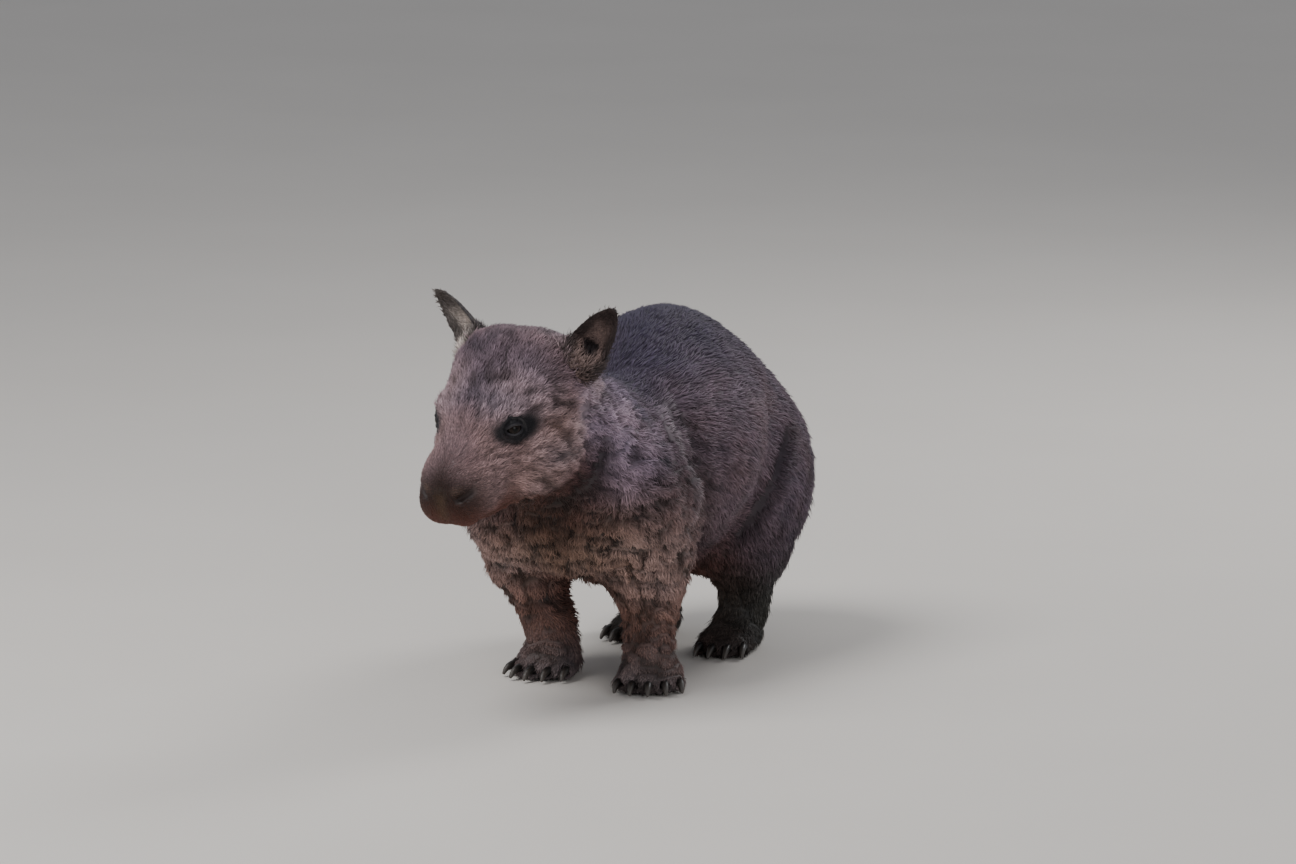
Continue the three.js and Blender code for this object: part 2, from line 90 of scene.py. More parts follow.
sin_a, cos_a = math.sin(CAMERA_AZIMUTH), math.cos(CAMERA_AZIMUTH)
sin_h, cos_h = math.sin(CAMERA_HEIGHT), math.cos(CAMERA_HEIGHT)
camera_right = Vector((cos_a, sin_a, 0))
camera_back = Vector((sin_a * cos_h, -cos_a * cos_h, sin_h))
camera_up = camera_back.cross(camera_right)
shift_right = (PHOTO_SIZE[0] / 2 - SOLE_PIXEL[0]) * PIXEL_AT_WOMBAT
shift_up = (SOLE_PIXEL[1] - PHOTO_SIZE[1] / 2) * PIXEL_AT_WOMBAT
camera_place = SOLE + camera_right * shift_right + camera_up * shift_up + camera_back * CAMERA_DISTANCE

camera = bpy.data.objects.new("camera", bpy.data.cameras.new("camera"))
camera.data.sensor_width = SENSOR_WIDTH
camera.data.lens = SENSOR_WIDTH * CAMERA_DISTANCE / (PHOTO_SIZE[0] * PIXEL_AT_WOMBAT)
camera.data.clip_end = FAR_END
camera_axes = Matrix((camera_right, camera_up, camera_back)).transposed().to_4x4()
camera.matrix_world = Matrix.Translation(camera_place) @ camera_axes
bpy.context.scene.collection.objects.link(camera)
bpy.context.scene.camera = camera
print("camera lens", round(camera.data.lens, 1), "mm")


def pixel_ray(x, y):
    """Where the ray through a photo pixel starts, and the way it goes."""
    across = (x - PHOTO_SIZE[0] / 2) * PIXEL_AT_WOMBAT
    upwards = (PHOTO_SIZE[1] / 2 - y) * PIXEL_AT_WOMBAT
    way = camera_right * across + camera_up * upwards - camera_back * CAMERA_DISTANCE
    return camera_place, way.normalized()


# %% [markdown]
# ## Meshes as arrays
#
# A coat has over a million points. Moving them one by one in Python would take minutes, and a
# modifier can't know where on a wombat it is. So this lesson keeps points in numpy arrays, with one
# row for each point, works on all rows at once, and writes them into a mesh at the end.

# %% Vectors in rows
def unit(vectors):
    return vectors / np.maximum(np.linalg.norm(vectors, axis=-1, keepdims=True), 1e-9)


def dot(a, b):
    return np.sum(a * b, axis=-1, keepdims=True)


def smoothstep(low, high, value):
    """Nought at low, one at high, and an even curve between. Low may be the larger number."""
    t = np.clip((value - low) / (high - low), 0, 1)
    return t * t * (3 - 2 * t)


def cut_squares(squares):
    """Each square face as two triangles."""
    return np.concatenate([squares[:, [0, 1, 2]], squares[:, [0, 2, 3]]])


def point_normals(points, triangles):
    a, b, c = (points[triangles[:, i]] for i in range(3))
    faces = np.cross(b - a, c - a)
    total = np.zeros_like(points)
    for corner in range(3):
        for axis in range(3):
            total[:, axis] += np.bincount(triangles[:, corner], faces[:, axis], len(points))
    return unit(total)


def relax(points, edges, share, rounds):
    """Moves each point towards the mean of its neighbours, by its own share, some rounds over."""
    points = points.copy()
    ends = np.concatenate([edges, edges[:, ::-1]])
    count = np.maximum(np.bincount(ends[:, 0], minlength=len(points)), 1)
    for _ in range(rounds):
        for axis in range(3):
            mean = np.bincount(ends[:, 0], points[ends[:, 1], axis], len(points)) / count
            points[:, axis] += share * (mean - points[:, axis])
    return points


# %% [markdown]
# ## Smooth chance
#
# Nothing on an animal is even, and nothing jumps either: tone, curl and lie drift from place to
# place. Blender's noise textures do this in a material, but here the same drift has to move points
# too. So grain() gives each corner of a grid its own value and blends the eight round a point.

# %% Values that drift
HASH_STEPS = np.array([73856093, 19349663, 83492791])
HASH_MIX = 1274126177
HASH_TOP = 0xFFFF


def cell_values(cells, seed=0):
    """A scrambled value from 0 to 1 for each cell of a grid, always the same for the same cell."""
    mixed = cells @ HASH_STEPS + seed
    mixed = (mixed ^ (mixed >> 13)) * HASH_MIX
    return ((mixed ^ (mixed >> 16)) & HASH_TOP) / HASH_TOP


def grain(points, size, seed=0):
    """Smooth random values from -1 to 1 that change over about size metres."""
    scaled = points / size + seed * 17.31
    cell = np.floor(scaled).astype(np.int64)
    share = scaled - cell
    share = share * share * (3 - 2 * share)
    total = np.zeros(len(points))
    for corner in itertools.product((0, 1), repeat=3):
        value = cell_values(cell + corner) * 2 - 1
        total += value * np.prod(np.where(corner, share, 1 - share), axis=1)
    return total


# %% Arrays into objects
def new_object(name, points, faces):
    """An object from arrays of points and of faces, all with equal counts of corners."""
    mesh = bpy.data.meshes.new(name)
    sides = faces.shape[1]
    mesh.vertices.add(len(points))
    mesh.vertices.foreach_set("co", np.asarray(points, np.float32).ravel())
    mesh.loops.add(faces.size)
    mesh.loops.foreach_set("vertex_index", np.asarray(faces, np.int32).ravel())
    mesh.polygons.add(len(faces))
    mesh.polygons.foreach_set("loop_start", np.arange(0, faces.size, sides, dtype=np.int32))
    mesh.polygons.foreach_set("use_smooth", np.ones(len(faces), bool))
    mesh.update()
    made = bpy.data.objects.new(name, mesh)
    bpy.context.scene.collection.objects.link(made)
    return made


def paint(thing, colours):
    """Stores one linear colour for each point, for the material to read."""
    layer = thing.data.color_attributes.new("fur_colour", "FLOAT_COLOR", "POINT")
    rgba = np.concatenate([colours, np.ones((len(colours), 1))], axis=1)
    layer.data.foreach_set("color", rgba.astype(np.float32).ravel())


# %% [markdown]
# ## Places on the body
#
# Everything below has to land on the wombat, wherever the frame puts it. Typed coordinates would
# break with the first change of pose. So the head has a frame of its own, found from the two eyes:
# x runs to the wombat's left, y to the back of its head and z to its crown. A place on the rest of
# the body is a share of the box of one of the frame's nodes.

# %% Head frame and places
SIDES = {"left": 1, "right": -1}
HEAD_DROP = math.radians(17)
EYE_IN_HEAD = mm((0, -30, 23))


def centre_of(node):
    low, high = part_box(node)
    return np.array((low + high) / 2)


def at(node, x, y, z):
    """A place at some share of a node's width, length and height."""
    low, high = (np.array(corner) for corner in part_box(node))
    return low + (high - low) * (x, y, z)


eye_places = {side: centre_of(f"eye_{side}") for side in SIDES}
head_left = unit(eye_places["left"] - eye_places["right"])
level_back = unit(np.cross((0, 0, 1), head_left))
head_back = level_back * math.cos(HEAD_DROP) + np.array((0, 0, math.sin(HEAD_DROP)))
head_up = np.cross(head_left, head_back)
head_axes = np.array([head_left, head_back, head_up])
head_origin = (eye_places["left"] + eye_places["right"]) / 2 - EYE_IN_HEAD @ head_axes


def in_head(x, y, z):
    """A place given in millimetres in the head's frame."""
    return head_origin + mm((x, y, z)) @ head_axes


def head_coordinates(points):
    return (points - head_origin) @ head_axes.T


print("head origin", head_origin.round(4), "left", head_left.round(3))

# %% [markdown]
# ## The map of the coat
#
# A wombat's coat changes from place to place: velvet on the nose, curled clumps on the cheeks,
# neck and forelegs, silk on the back, and almost bare toes. Each coat could be a painted mask, but
# a table is easier to read and to change. A row holds seven looks:
#
# - depth: how far the skin lies below the coat's outline, in millimetres;
# - length and width of a lock, in millimetres, and lift, its angle off the skin in degrees;
# - spacing: the distance between roots, in millimetres;
# - clump: how far the tips draw together, from 0 to 1;
# - ripple: how strongly the coat is crinkled.
#
# Then come its colour, and its lie: the way the hair points, with x outwards from the body. Coats of
# the head have no lie, because there the hair points away from the nose.

# %% Colours
def linear(hex_colour):
    """An sRGB hex value as linear red, green and blue."""
    values = np.array([int(hex_colour[i : i + 2], 16) for i in (1, 3, 5)]) / 255
    return np.where(values <= 0.04045, values / 12.92, ((values + 0.055) / 1.055) ** 2.4)


# %% Kinds of coat
LOOKS = ("depth", "length", "width", "lift", "spacing", "clump", "ripple")
COATS = {
    "nose": ((1.6, 3, 0.77, 20, 1.09, 0, 0), "#2b160d", None),
    "lips": ((1.8, 3.6, 0.77, 20, 1.13, 0.1, 0.1), "#6d4238", None),
    "bridge": ((2.4, 6, 0.86, 20, 1.22, 0.2, 0.2), "#927779", None),
    "muzzle": ((3, 7.5, 0.95, 22, 1.3, 0.3, 0.35), "#987d7c", None),
    "brow": ((3.6, 8.5, 0.95, 22, 1.32, 0.35, 0.6), "#a58e93", None),
    "eye_patch": ((1.8, 4, 0.77, 20, 1.05, 0, 0), "#222126", None),
    "forehead": ((3.6, 9, 1, 20, 1.36, 0.35, 0.6), "#5c505c", None),
    "cheek": ((4, 9, 1.05, 20, 1.36, 0.35, 0.6), "#a68b8a", None),
    # The jowl's colour is its fur's tone darkened with painted shade under the jaw, and reddened as bounced
    # light.
    "jowl": ((4, 9, 1.2, 18, 1.45, 0.6, 1), "#532f20", None),
    "crown": ((4.4, 10, 1.2, 18, 1.5, 0.25, 0.3), "#866c6f", None),
    "ear_root": ((5, 15, 1.4, 38, 1.54, 0.5, 0.5), "#a8918f", None),
    "ear_back": ((1, 4.5, 0.95, 14, 1.22, 0.1, 0.1), "#463639", None),
    "ear_cup": ((1, 5.5, 0.86, 22, 1.3, 0.3, 0.3), "#987c73", None),
    "nape": ((5.5, 12, 1.4, 13, 1.75, 0.35, 0.4), "#675267", (0, 1, -0.2)),
    "neck": ((6, 11, 1.25, 15, 1.65, 0.6, 0.8), "#ac98ab", (0, 0.8, -0.7)),
    # The throat's colour is its fur's tone darkened with painted shade under the jaw, and reddened as
    # bounced light.
    "throat": ((5, 11, 1.3, 14, 1.75, 0.6, 0.7), "#3b1408", (0, 0.2, -1)),
    "ruff": ((6, 11, 1.3, 14, 1.65, 0.7, 1.35), "#7f6657", (0, -0.1, -1)),
    "shoulder": ((5, 10.5, 1.25, 14, 1.65, 0.6, 1.1), "#493638", (0, 0.5, -0.9)),
    "back": ((2.8, 15, 1.5, 9, 2.11, 0.15, 0.12), "#3c344a", (0, 1, -0.12)),
    "flank": ((3, 14, 1.5, 9, 2.11, 0.25, 0.25), "#7c6873", (0, 0.9, -0.6)),
    "rump": ((4.4, 15, 1.7, 14, 2.19, 0.3, 0.3), "#4d455b", (0, 0.5, -1)),
    # The belly's colour is its fur's tone darkened with painted shade on the underside, and reddened as
    # bounced light.
    "belly": ((5, 15, 1.8, 16, 2.27, 0.4, 0.5), "#5e3222", (0, 1, -0.3)),
    "foreleg": ((4.5, 8, 1.2, 12, 1.55, 0.6, 1.1), "#a78c85", (0, 0.2, -1)),
    "forearm": ((3.2, 6.5, 1.15, 11, 1.5, 0.5, 1), "#75554b", (0, 0.1, -1)),
    "thigh": ((4.4, 16, 1.6, 14, 2.11, 0.35, 0.4), "#463c4e", (0, 0.4, -1)),
    "hock": ((6, 20, 1.7, 20, 2.11, 0.5, 0.6), "#2d2627", (0, 0.7, -1)),
    "shin": ((3.6, 10, 1.6, 12, 1.94, 0.35, 0.5), "#393f38", (0, 0.2, -1)),
    "forefoot": ((2.4, 4.5, 0.95, 16, 1.3, 0.2, 0.5), "#716c6f", (0, -1, -0.7)),
    "hindfoot": ((2.2, 4.5, 0.95, 16, 1.3, 0.2, 0.4), "#473e3e", (0, -1, -0.6)),
    "tail": ((3, 9, 1.5, 14, 1.62, 0.2, 0.2), "#322b2b", (0, 0.7, -0.7)),
}
KIND = {name: row for row, name in enumerate(COATS)}
look_table = np.array([looks for looks, _, _ in COATS.values()], float)
colour_table = np.array([linear(colour) for _, colour, _ in COATS.values()])
lie_table = np.array([lie or (0, 0, 0) for _, _, lie in COATS.values()], float)
on_head_table = np.array([lie is None for _, _, lie in COATS.values()], float)
print("kinds of coat:", len(COATS))


# %% [markdown]
# ## Where each coat grows
#
# A second table says where: a place, and its reach in millimetres. Hard borders would show as seams,
# so every point takes a share of each coat near it, and its looks are the mean of those coats' rows.
# The dark almond round the eye is the one marking with an edge, so it is drawn on its own.

# %% Places of the coats
def pair(x, y, z, reach):
    return [(in_head(side * x, y, z), reach) for side in (1, -1)]


def both_sides(node, x, y, z, reach):
    return [(at(f"{node}_left", x, y, z), reach), (at(f"{node}_right", 1 - x, y, z), reach)]


PLACES = {
    "nose": [(in_head(0, -104, -12), 22)] + pair(20, -100, -20, 17),
    "lips": pair(14, -96, -46, 18) + pair(36, -56, -52, 15),
    "bridge": [(in_head(0, -66, 24), 22)] + pair(14, -84, 4, 16),
    "muzzle": pair(40, -70, -16, 22) + pair(36, -50, 8, 20),
    "brow": pair(38, -20, 48, 24),
    "forehead": [(in_head(0, 0, 68), 40)],
    "cheek": pair(72, 8, -6, 34) + pair(56, -22, -32, 24),
    "jowl": pair(58, 36, -56, 26) + pair(20, -20, -62, 24),
    "crown": [(in_head(0, 56, 86), 44)],
    "ear_root": pair(60, 64, 70, 17) + pair(66, 92, 22, 22),
    "nape": [(at("neck", 0.5, 0.75, 0.95), 60)],
    "neck": [(at("neck", x, 0.6, 0.55), 56) for x in (0.05, 0.95)],
    "throat": [(in_head(0, 22, -98), 46)] + pair(44, 38, -104, 30),
    "ruff": [(at("torso", x, 0.02, 0.22), 46) for x in (0.35, 0.65)],
    "shoulder": both_sides("leg_fore", 1, 0.4, 0.85, 72),
    "back": [(at("torso", 0.5, y, z), 95) for y, z in ((0.3, 1), (0.55, 1), (0.8, 0.85))],
    "flank": [(at("torso", x, y, 0.5), 95) for x in (0, 1) for y in (0.45, 0.65)],
    "rump": [(at("torso", 0.5, 1, 0.55), 90)],
    "belly": [(at("torso", 0.5, y, 0), 75) for y in (0.4, 0.6)],
    "foreleg": both_sides("leg_fore", 0.6, 0.3, 0.5, 50),
    "forearm": both_sides("leg_fore", 0.5, 0.4, 0.08, 42),
    "thigh": both_sides("leg_hind", 0.9, 0.6, 0.6, 76),
    "hock": both_sides("leg_hind", 0.7, 0.95, 0.35, 46),
    "shin": both_sides("leg_hind", 0.5, 0.4, 0.08, 56),
    "forefoot": both_sides("foot_fore", 0.5, 0.35, 0.35, 34),
    "hindfoot": both_sides("foot_hind", 0.5, 0.3, 0.3, 40),
    "tail": [(centre_of("tail"), 26)],
}
EYE_PATCH = mm((36, 28, 15))  # half its depth, its length and its height
EYE_PATCH_DROP = mm(1.5)
EYE_PATCH_SLOPE = 0.05


def eye_patch_at(points):
    """One on the dark almond round each eye, which rises towards the ear, and zero off it."""
    patch = np.zeros(len(points))
    for place in eye_places.values():
        apart = (points - place) @ head_axes.T
        apart[:, 2] += EYE_PATCH_DROP - EYE_PATCH_SLOPE * apart[:, 1]
        away = np.linalg.norm(apart / EYE_PATCH, axis=1)
        patch = np.maximum(patch, smoothstep(1.2, 0.62, away))
    return patch


def coat_shares(points):
    """How much of each kind of coat grows at each point. The shares of a point add up to one."""
    shares = np.zeros((len(points), len(COATS)))
    for name, row in KIND.items():
        for place, reach in PLACES.get(name, ()):
            away = np.linalg.norm(points - place, axis=1) / mm(reach)
            shares[:, row] = np.maximum(shares[:, row], np.exp(-(away**2)) + 1e-4 / (1 + away**4))
    shares /= shares.sum(axis=1, keepdims=True)
    patch = eye_patch_at(points)
    shares *= 1 - patch[:, None]
    shares[:, KIND["eye_patch"]] += patch
    return shares


def look_at(shares, look):
    """One look, such as its depth, at each point."""
    return shares @ look_table[:, LOOKS.index(look)]


# %% [markdown]
# ## Lie and curl
#
# Two things make hair read as hair: the way that it lies, and the way that it crinkles. A comb
# tool could set the lie by hand. Here the tables give it, pressed flat onto the skin. On the head
# the curls are streaks that run back from the nose. Elsewhere thin furrows cross the hair, as they
# do where loose skin folds over the neck and the forelegs.

# %% Lie and curl of the coat
NOSE_SOURCE = in_head(0, -128, -8)
STREAK_SIZE = mm(4.6)
STREAK_STRETCH = (0.1, 0.28)  # how fast streaks change across the hair, and along it
RIPPLE_SIZE = mm(8.5)
RIPPLE_STRETCH = (0.5, 0.5, 1.2)
FURROW_WIDTH = 0.26


def curl_at(points, shares):
    """Height of the curls, up to about 1: streaks along the hair on the head, furrows elsewhere."""
    on_head = shares @ on_head_table
    from_nose = points - NOSE_SOURCE
    far = np.linalg.norm(from_nose, axis=1, keepdims=True)
    streak = grain(from_nose / far * STREAK_STRETCH[0] + far * STREAK_STRETCH[1], STREAK_SIZE, 22)
    bent = points + mm(5) * np.stack([grain(points, mm(20), seed) for seed in (23, 24, 25)], axis=1)
    furrow = np.exp(-((grain(bent * RIPPLE_STRETCH, RIPPLE_SIZE, 26) / FURROW_WIDTH) ** 2))
    return on_head * streak * 1.3 + (1 - on_head) * (0.6 - 1.5 * furrow)


def lie_at(points, normals, shares):
    """The way the coat lies at each point, along the skin: away from the nose on the head."""
    ways = shares @ lie_table
    ways[:, 0] *= np.sign(points[:, 0])
    ways += (shares @ on_head_table)[:, None] * unit(points - NOSE_SOURCE)
    return unit(ways - normals * dot(ways, normals))


# %% [markdown]
# ## The skin
#
# The solids of head, neck, torso, legs, feet and tail meet with thin gaps, but an animal has one
# skin over them all. A shrinkwrap could bridge the gaps, but it bridges hollows too. A voxel remesh
# melts the solids into one closed surface and keeps every hollow wider than a voxel. Each solid is
# first swelled by the width of a gap, so that neighbours touch.

# %% One surface from many solids
SKIN_STEP = mm(2.6)
GAP_CLOSER = mm(0.3)
FLESH_KINDS = ("torso", "neck", "head", "tail", "leg", "foot", "eye")
FLESH = [node for node in frame["nodes"] if node.split("_")[0] in FLESH_KINDS]


def gather_flesh():
    """All nodes of flesh in one object, each swelled a little."""
    gathered = bmesh.new()
    for node in FLESH:
        part = bmesh.new()
        part.from_mesh(frame["nodes"][node].data)
        bmesh.ops.remove_doubles(part, verts=part.verts, dist=1e-6)
        part.normal_update()
        for vertex in part.verts:
            vertex.co += vertex.normal * GAP_CLOSER
        welded = bpy.data.meshes.new(node)
        part.to_mesh(welded)
        part.free()
        gathered.from_mesh(welded)
        bpy.data.meshes.remove(welded)
    mesh = bpy.data.meshes.new("flesh")
    gathered.to_mesh(mesh)
    gathered.free()
    return bpy.data.objects.new("flesh", mesh)


def keep_largest_body(solid):
    """Leaves only the largest closed surface of a bmesh, and tells how many there were."""
    solid.verts.ensure_lookup_table()
    group = np.full(len(solid.verts), -1)
    sizes = []
    for seed in solid.verts:
        if group[seed.index] >= 0:
            continue
        stack = [seed]
        group[seed.index] = len(sizes)
        count = 0
        while stack:
            vertex = stack.pop()
            count += 1
            for edge in vertex.link_edges:
                other = edge.other_vert(vertex)
                if group[other.index] < 0:
                    group[other.index] = len(sizes)
                    stack.append(other)
        sizes.append(count)
    loose = [vertex for vertex in solid.verts if group[vertex.index] != int(np.argmax(sizes))]
    bmesh.ops.delete(solid, geom=loose, context="VERTS")
    return len(sizes)


def voxel_remesh(source, step):
    """The closed outer surface of an object as points, square faces and edges. Uses the object up."""
    bpy.context.scene.collection.objects.link(source)
    melt = source.modifiers.new("melt", "REMESH")
    melt.mode = "VOXEL"
    melt.voxel_size = step
    bpy.context.view_layer.update()
    evaluated = source.evaluated_get(bpy.context.evaluated_depsgraph_get())
    surface = bpy.data.meshes.new_from_object(evaluated)
    solid = bmesh.new()
    solid.from_mesh(surface)
    bodies = keep_largest_body(solid)
    solid.to_mesh(surface)
    solid.free()
    points = np.empty(len(surface.vertices) * 3)
    surface.vertices.foreach_get("co", points)
    edges = np.empty(len(surface.edges) * 2, np.int32)
    surface.edges.foreach_get("vertices", edges)
    corners = np.empty(len(surface.loops), np.int32)
    surface.loops.foreach_get("vertex_index", corners)
    bpy.data.meshes.remove(surface)
    bpy.data.objects.remove(source)
    return points.reshape(-1, 3), corners.reshape(-1, 4), edges.reshape(-1, 2)


skin_points, skin_faces, skin_edges = voxel_remesh(gather_flesh(), SKIN_STEP)
skin_triangles = cut_squares(skin_faces)

# %% [markdown]
# ## Smooth, then sink
#
# The melted surface still has the frame's facets: about 20 mm wide on the body, and half of that on
# the head and feet. A smooth modifier would wash out the whole animal alike. Relaxing with a share
# for each point takes the facets off the broad back and leaves the face and toes crisp. Then the
# skin sinks by the depth of the coat, so that the tips of the hair reach the frame's outline.

# %% Smooth and sink the skin
HEAD_CRISP = mm((150, 110))
FOOT_CRISP = mm((45, 20))
CRISPNESS = 0.86
SMOOTHING = 0.5
SMOOTHING_ROUNDS = 36
SKIN_ABOVE_FLOOR = mm(0.4)

near_head = smoothstep(*HEAD_CRISP, np.linalg.norm(head_coordinates(skin_points), axis=1))
near_foot = smoothstep(*FOOT_CRISP, skin_points[:, 2])
smoothing = SMOOTHING * (1 - CRISPNESS * np.maximum(near_head, near_foot))
skin_points = relax(skin_points, skin_edges, smoothing, SMOOTHING_ROUNDS)
skin_shares = coat_shares(skin_points)
depth = np.repeat(mm(look_at(skin_shares, "depth"))[:, None], 3, axis=1)
depth = relax(depth, skin_edges, SMOOTHING, 6)[:, :1]
skin_points = skin_points - point_normals(skin_points, skin_triangles) * depth
skin_points = relax(skin_points, skin_edges, smoothing * 0.4, 4)
skin_points[:, 2] = np.maximum(skin_points[:, 2], SKIN_ABOVE_FLOOR)
skin_tree = BVHTree.FromPolygons(skin_points.tolist(), skin_faces.tolist())
print("coat depth from", depth.min().round(4), "to", depth.max().round(4))

# %% [markdown]
# ## Nostrils, mouth and folds
#
# Folds are what makes skin look loose. Each is a dent, or a ridge, that follows a curve on the skin,
# and every skin point near the curve moves in or out. Sculpting by hand would do it too, but a curve
# stays editable and the coat can be tinted and cut short along it. Most dents are tinted dark, as
# painted shade, and the ridges of the shoulder pale, as painted highlight. A fold fades out at its ends.

# %% Press dents into the skin
ROWS_AT_ONCE = 20000


def curve_points(places, steps=60):
    """Points along a smooth curve through some places."""
    places = np.asarray(places, float)
    knots = np.linspace(0, 1, len(places))
    fine = np.linspace(0, 1, steps)
    padded = np.vstack([2 * places[0] - places[1], places, 2 * places[-1] - places[-2]])
    index = np.minimum((fine * (len(places) - 1)).astype(int), len(places) - 2)
    t = (fine - knots[index])[:, None] * (len(places) - 1)
    a, b, c, d = (padded[index + k] for k in range(4))
    return 0.5 * (2 * b + (c - a) * t + (2 * a - 5 * b + 4 * c - d) * t**2 + (3 * b - a - 3 * c + d) * t**3)


def distance_to(points, curve, width):
    """Distance of each point to a curve, made longer near the curve's ends, and infinite far off."""
    away = np.full(len(points), np.inf)
    reach = width * 3
    fade = width * 1.8 * smoothstep(0.5, 1, np.abs(np.linspace(-1, 1, len(curve))))
    low, high = curve.min(axis=0) - reach, curve.max(axis=0) + reach
    near = np.nonzero(np.all((points > low) & (points < high), axis=1))[0]
    for start in range(0, len(near), ROWS_AT_ONCE):
        some = near[start : start + ROWS_AT_ONCE]
        squares = np.sum((points[some, None] - curve[None]) ** 2, axis=2)
        away[some] = np.sqrt((squares + fade**2).min(axis=1))
    return away


marks = []


def fold(points, places, width, by, tint, strength):
    """Presses one fold into the skin's points. A negative depth raises a ridge. Keeps its tint: mostly
    painted shade in a dent, painted highlight on a ridge.
    """
    line = np.array([skin_tree.find_nearest(Vector(place))[0] for place in curve_points(places)])
    away = distance_to(points, line, mm(width))
    marks.append((line, mm(width), linear(tint), strength))
    return points - flat_normals * (mm(by) * np.exp(-((away / mm(width)) ** 2)))[:, None]


def on_skin(pixels):
    """Places on the skin that the camera sees at some photo pixels."""
    found = []
    for x, y in pixels:
        hit = skin_tree.ray_cast(*pixel_ray(x, y))[0]
        if hit is not None:
            found.append(hit)
    return np.array(found)


def mirrored(places):
    """The same places on the other side of the head."""
    return head_origin + (head_coordinates(places) * (-1, 1, 1)) @ head_axes


# %% [markdown]
# ## Room for the eyes
#
# The eye sits deep in the head, with the skin drawn in round it. A boolean cut would leave a hard
# rim. Pushing the skin back along the way that the eye looks, less and less towards a ring, leaves
# a soft socket for the lids.

# %% Eye sockets
SOCKET_REACH = mm((14, 11))
SOCKET_FLOOR = mm(4)
eye_axes = {}
for side, sign in SIDES.items():
    looks_to = unit(sign * 0.8 * head_left - 0.58 * head_back + 0.1 * head_up)
    across = unit(np.cross(head_up, looks_to))
    eye_axes[side] = np.array([across, np.cross(looks_to, across), looks_to])
    apart = (skin_points - eye_places[side]) @ eye_axes[side].T
    beside = np.linalg.norm(apart[:, :2], axis=1)
    sink = np.maximum(apart[:, 2] - SOCKET_FLOOR, 0) * smoothstep(*SOCKET_REACH, beside)
    skin_points = skin_points - sink[:, None] * looks_to
print("eyes at", {side: place.round(3).tolist() for side, place in eye_places.items()})

# %% [markdown]
# ## The folds themselves
#
# Folds that the photo shows are given by the pixels that they run through, which the camera's rays
# carry onto the skin. Those of the head are mirrored. Mouth and nostrils are given in the head's own
# frame, because they must be even on both sides.

# %% Folds, mouth and nostrils
# name: photo pixels, width and depth in millimetres, tint, strength of the tint
FOLDS = {
    # Pale tints painted as highlight along the two ridges of the shoulder.
    "line of the shoulder": (
        [(650, 396), (661, 417), (677, 450), (693, 480), (696, 502), (688, 524), (685, 556)],
        3.6, -3, "#a89da3", 0.7,
    ),
    "second line of the shoulder": (
        [(661, 394), (672, 415), (684, 440), (693, 462)], 2.6, -1.5, "#a0959b", 0.6,
    ),
    # Dark tints painted as shade in the hollows and creases from here on.
    "hollow behind the shoulder": (
        [(668, 396), (684, 425), (700, 462), (707, 500), (700, 535), (694, 568)], 9, 5, "#2c2428", 0.5,
    ),
    "edge of the cheek": (
        [(604, 420), (603, 445), (599, 464), (588, 484), (572, 497), (552, 505), (530, 509)],
        8, 5.5, "#1a1210", 0.95,
    ),
    "crease of the throat": ([(606, 522), (620, 516), (636, 514), (654, 508)], 5, 4, "#1d1614", 0.8),
    "lower brow": ([(545, 396), (552, 401), (562, 405), (573, 407)], 3.6, 3, "#1c1616", 0.95),
    "upper brow": ([(549, 386), (556, 391), (563, 394)], 2.6, 2, "#2a2221", 0.8),
    # A dark tint painted as shade under the cheek, over a slight dent.
    "shade under the jowl": ([(533, 476), (545, 484), (557, 491)], 6, 1.5, "#2a1f1b", 0.65),
    "crease below the eye": ([(500, 436), (512, 444), (525, 448)], 2.2, 1.6, "#4a3c3b", 0.6),
    "hollow behind the ear": ([(603, 363), (600, 390), (602, 412)], 4, 2, "#3a3032", 0.4),
    "front of the thigh": (
        [(786, 408), (785, 440), (777, 470), (763, 498), (745, 526), (728, 556)], 8, 8, "#191416", 0.9,
    ),
}
HEAD_REACH = mm(125)
MOUTH_CORNER_TO_LIP = [(46, -12, -58), (40, -40, -56), (26, -72, -56)]
MOUTH = [(-x, y, z) for x, y, z in MOUTH_CORNER_TO_LIP] + [(0, -90, -50)] + MOUTH_CORNER_TO_LIP[::-1]
PHILTRUM = [(0, -106, -16), (0, -108, -28), (0, -100, -44)]
NOSTRIL = [(31, -95, -15), (24, -100, -20), (15, -105, -24)]
NOSTRIL_RIM = [(13, -106, -14), (20, -104, -12)]

flat_normals = point_normals(skin_points, skin_triangles)
for pixels, *look in FOLDS.values():
    seen = on_skin(pixels)
    skin_points = fold(skin_points, seen, *look)
    if np.linalg.norm(head_coordinates(seen), axis=1).mean() < HEAD_REACH:
        skin_points = fold(skin_points, mirrored(seen), *look)
# The mouth's dark line is partly the real dark edge of the lip and partly painted shade in its groove.
skin_points = fold(skin_points, [in_head(*place) for place in MOUTH], 2.4, 3, "#2b1b17", 0.7)
skin_points = fold(skin_points, [in_head(*place) for place in PHILTRUM], 5, 1.4, "#755d49", 0.5)
for sign in SIDES.values():
    slit = [in_head(sign * x, y, z) for x, y, z in NOSTRIL]
    rim = [in_head(sign * x, y, z) for x, y, z in NOSTRIL_RIM]
    # The near-black slits are painted shade in the openings of the nostrils.
    skin_points = fold(skin_points, slit, 3.4, 5, "#090606", 1)
    skin_points = fold(skin_points, rim, 3, -1.2, "#6d564a", 0.5)
print("folds:", len(marks))

# %% [markdown]
# ## The skin as an object
#
# Curls raise the skin too, so that the locks on a crest stand above those in a furrow. Then the skin
# gets its colour. On a furred animal the skin is seen only as the dark ground between hairs, in
# their shade, so it takes the coat's own colours, darkened further as painted shade. Both come from
# one function, and can't disagree.

# %% Markings with painted light and shade, and skin
CURL_HEIGHT = mm(2.2)
# The skin between the hairs is painted darker, as the shade that the hair casts on it.
SKIN_SHADE_UNDER_HAIR = 0.55
DARKEST = 0.2


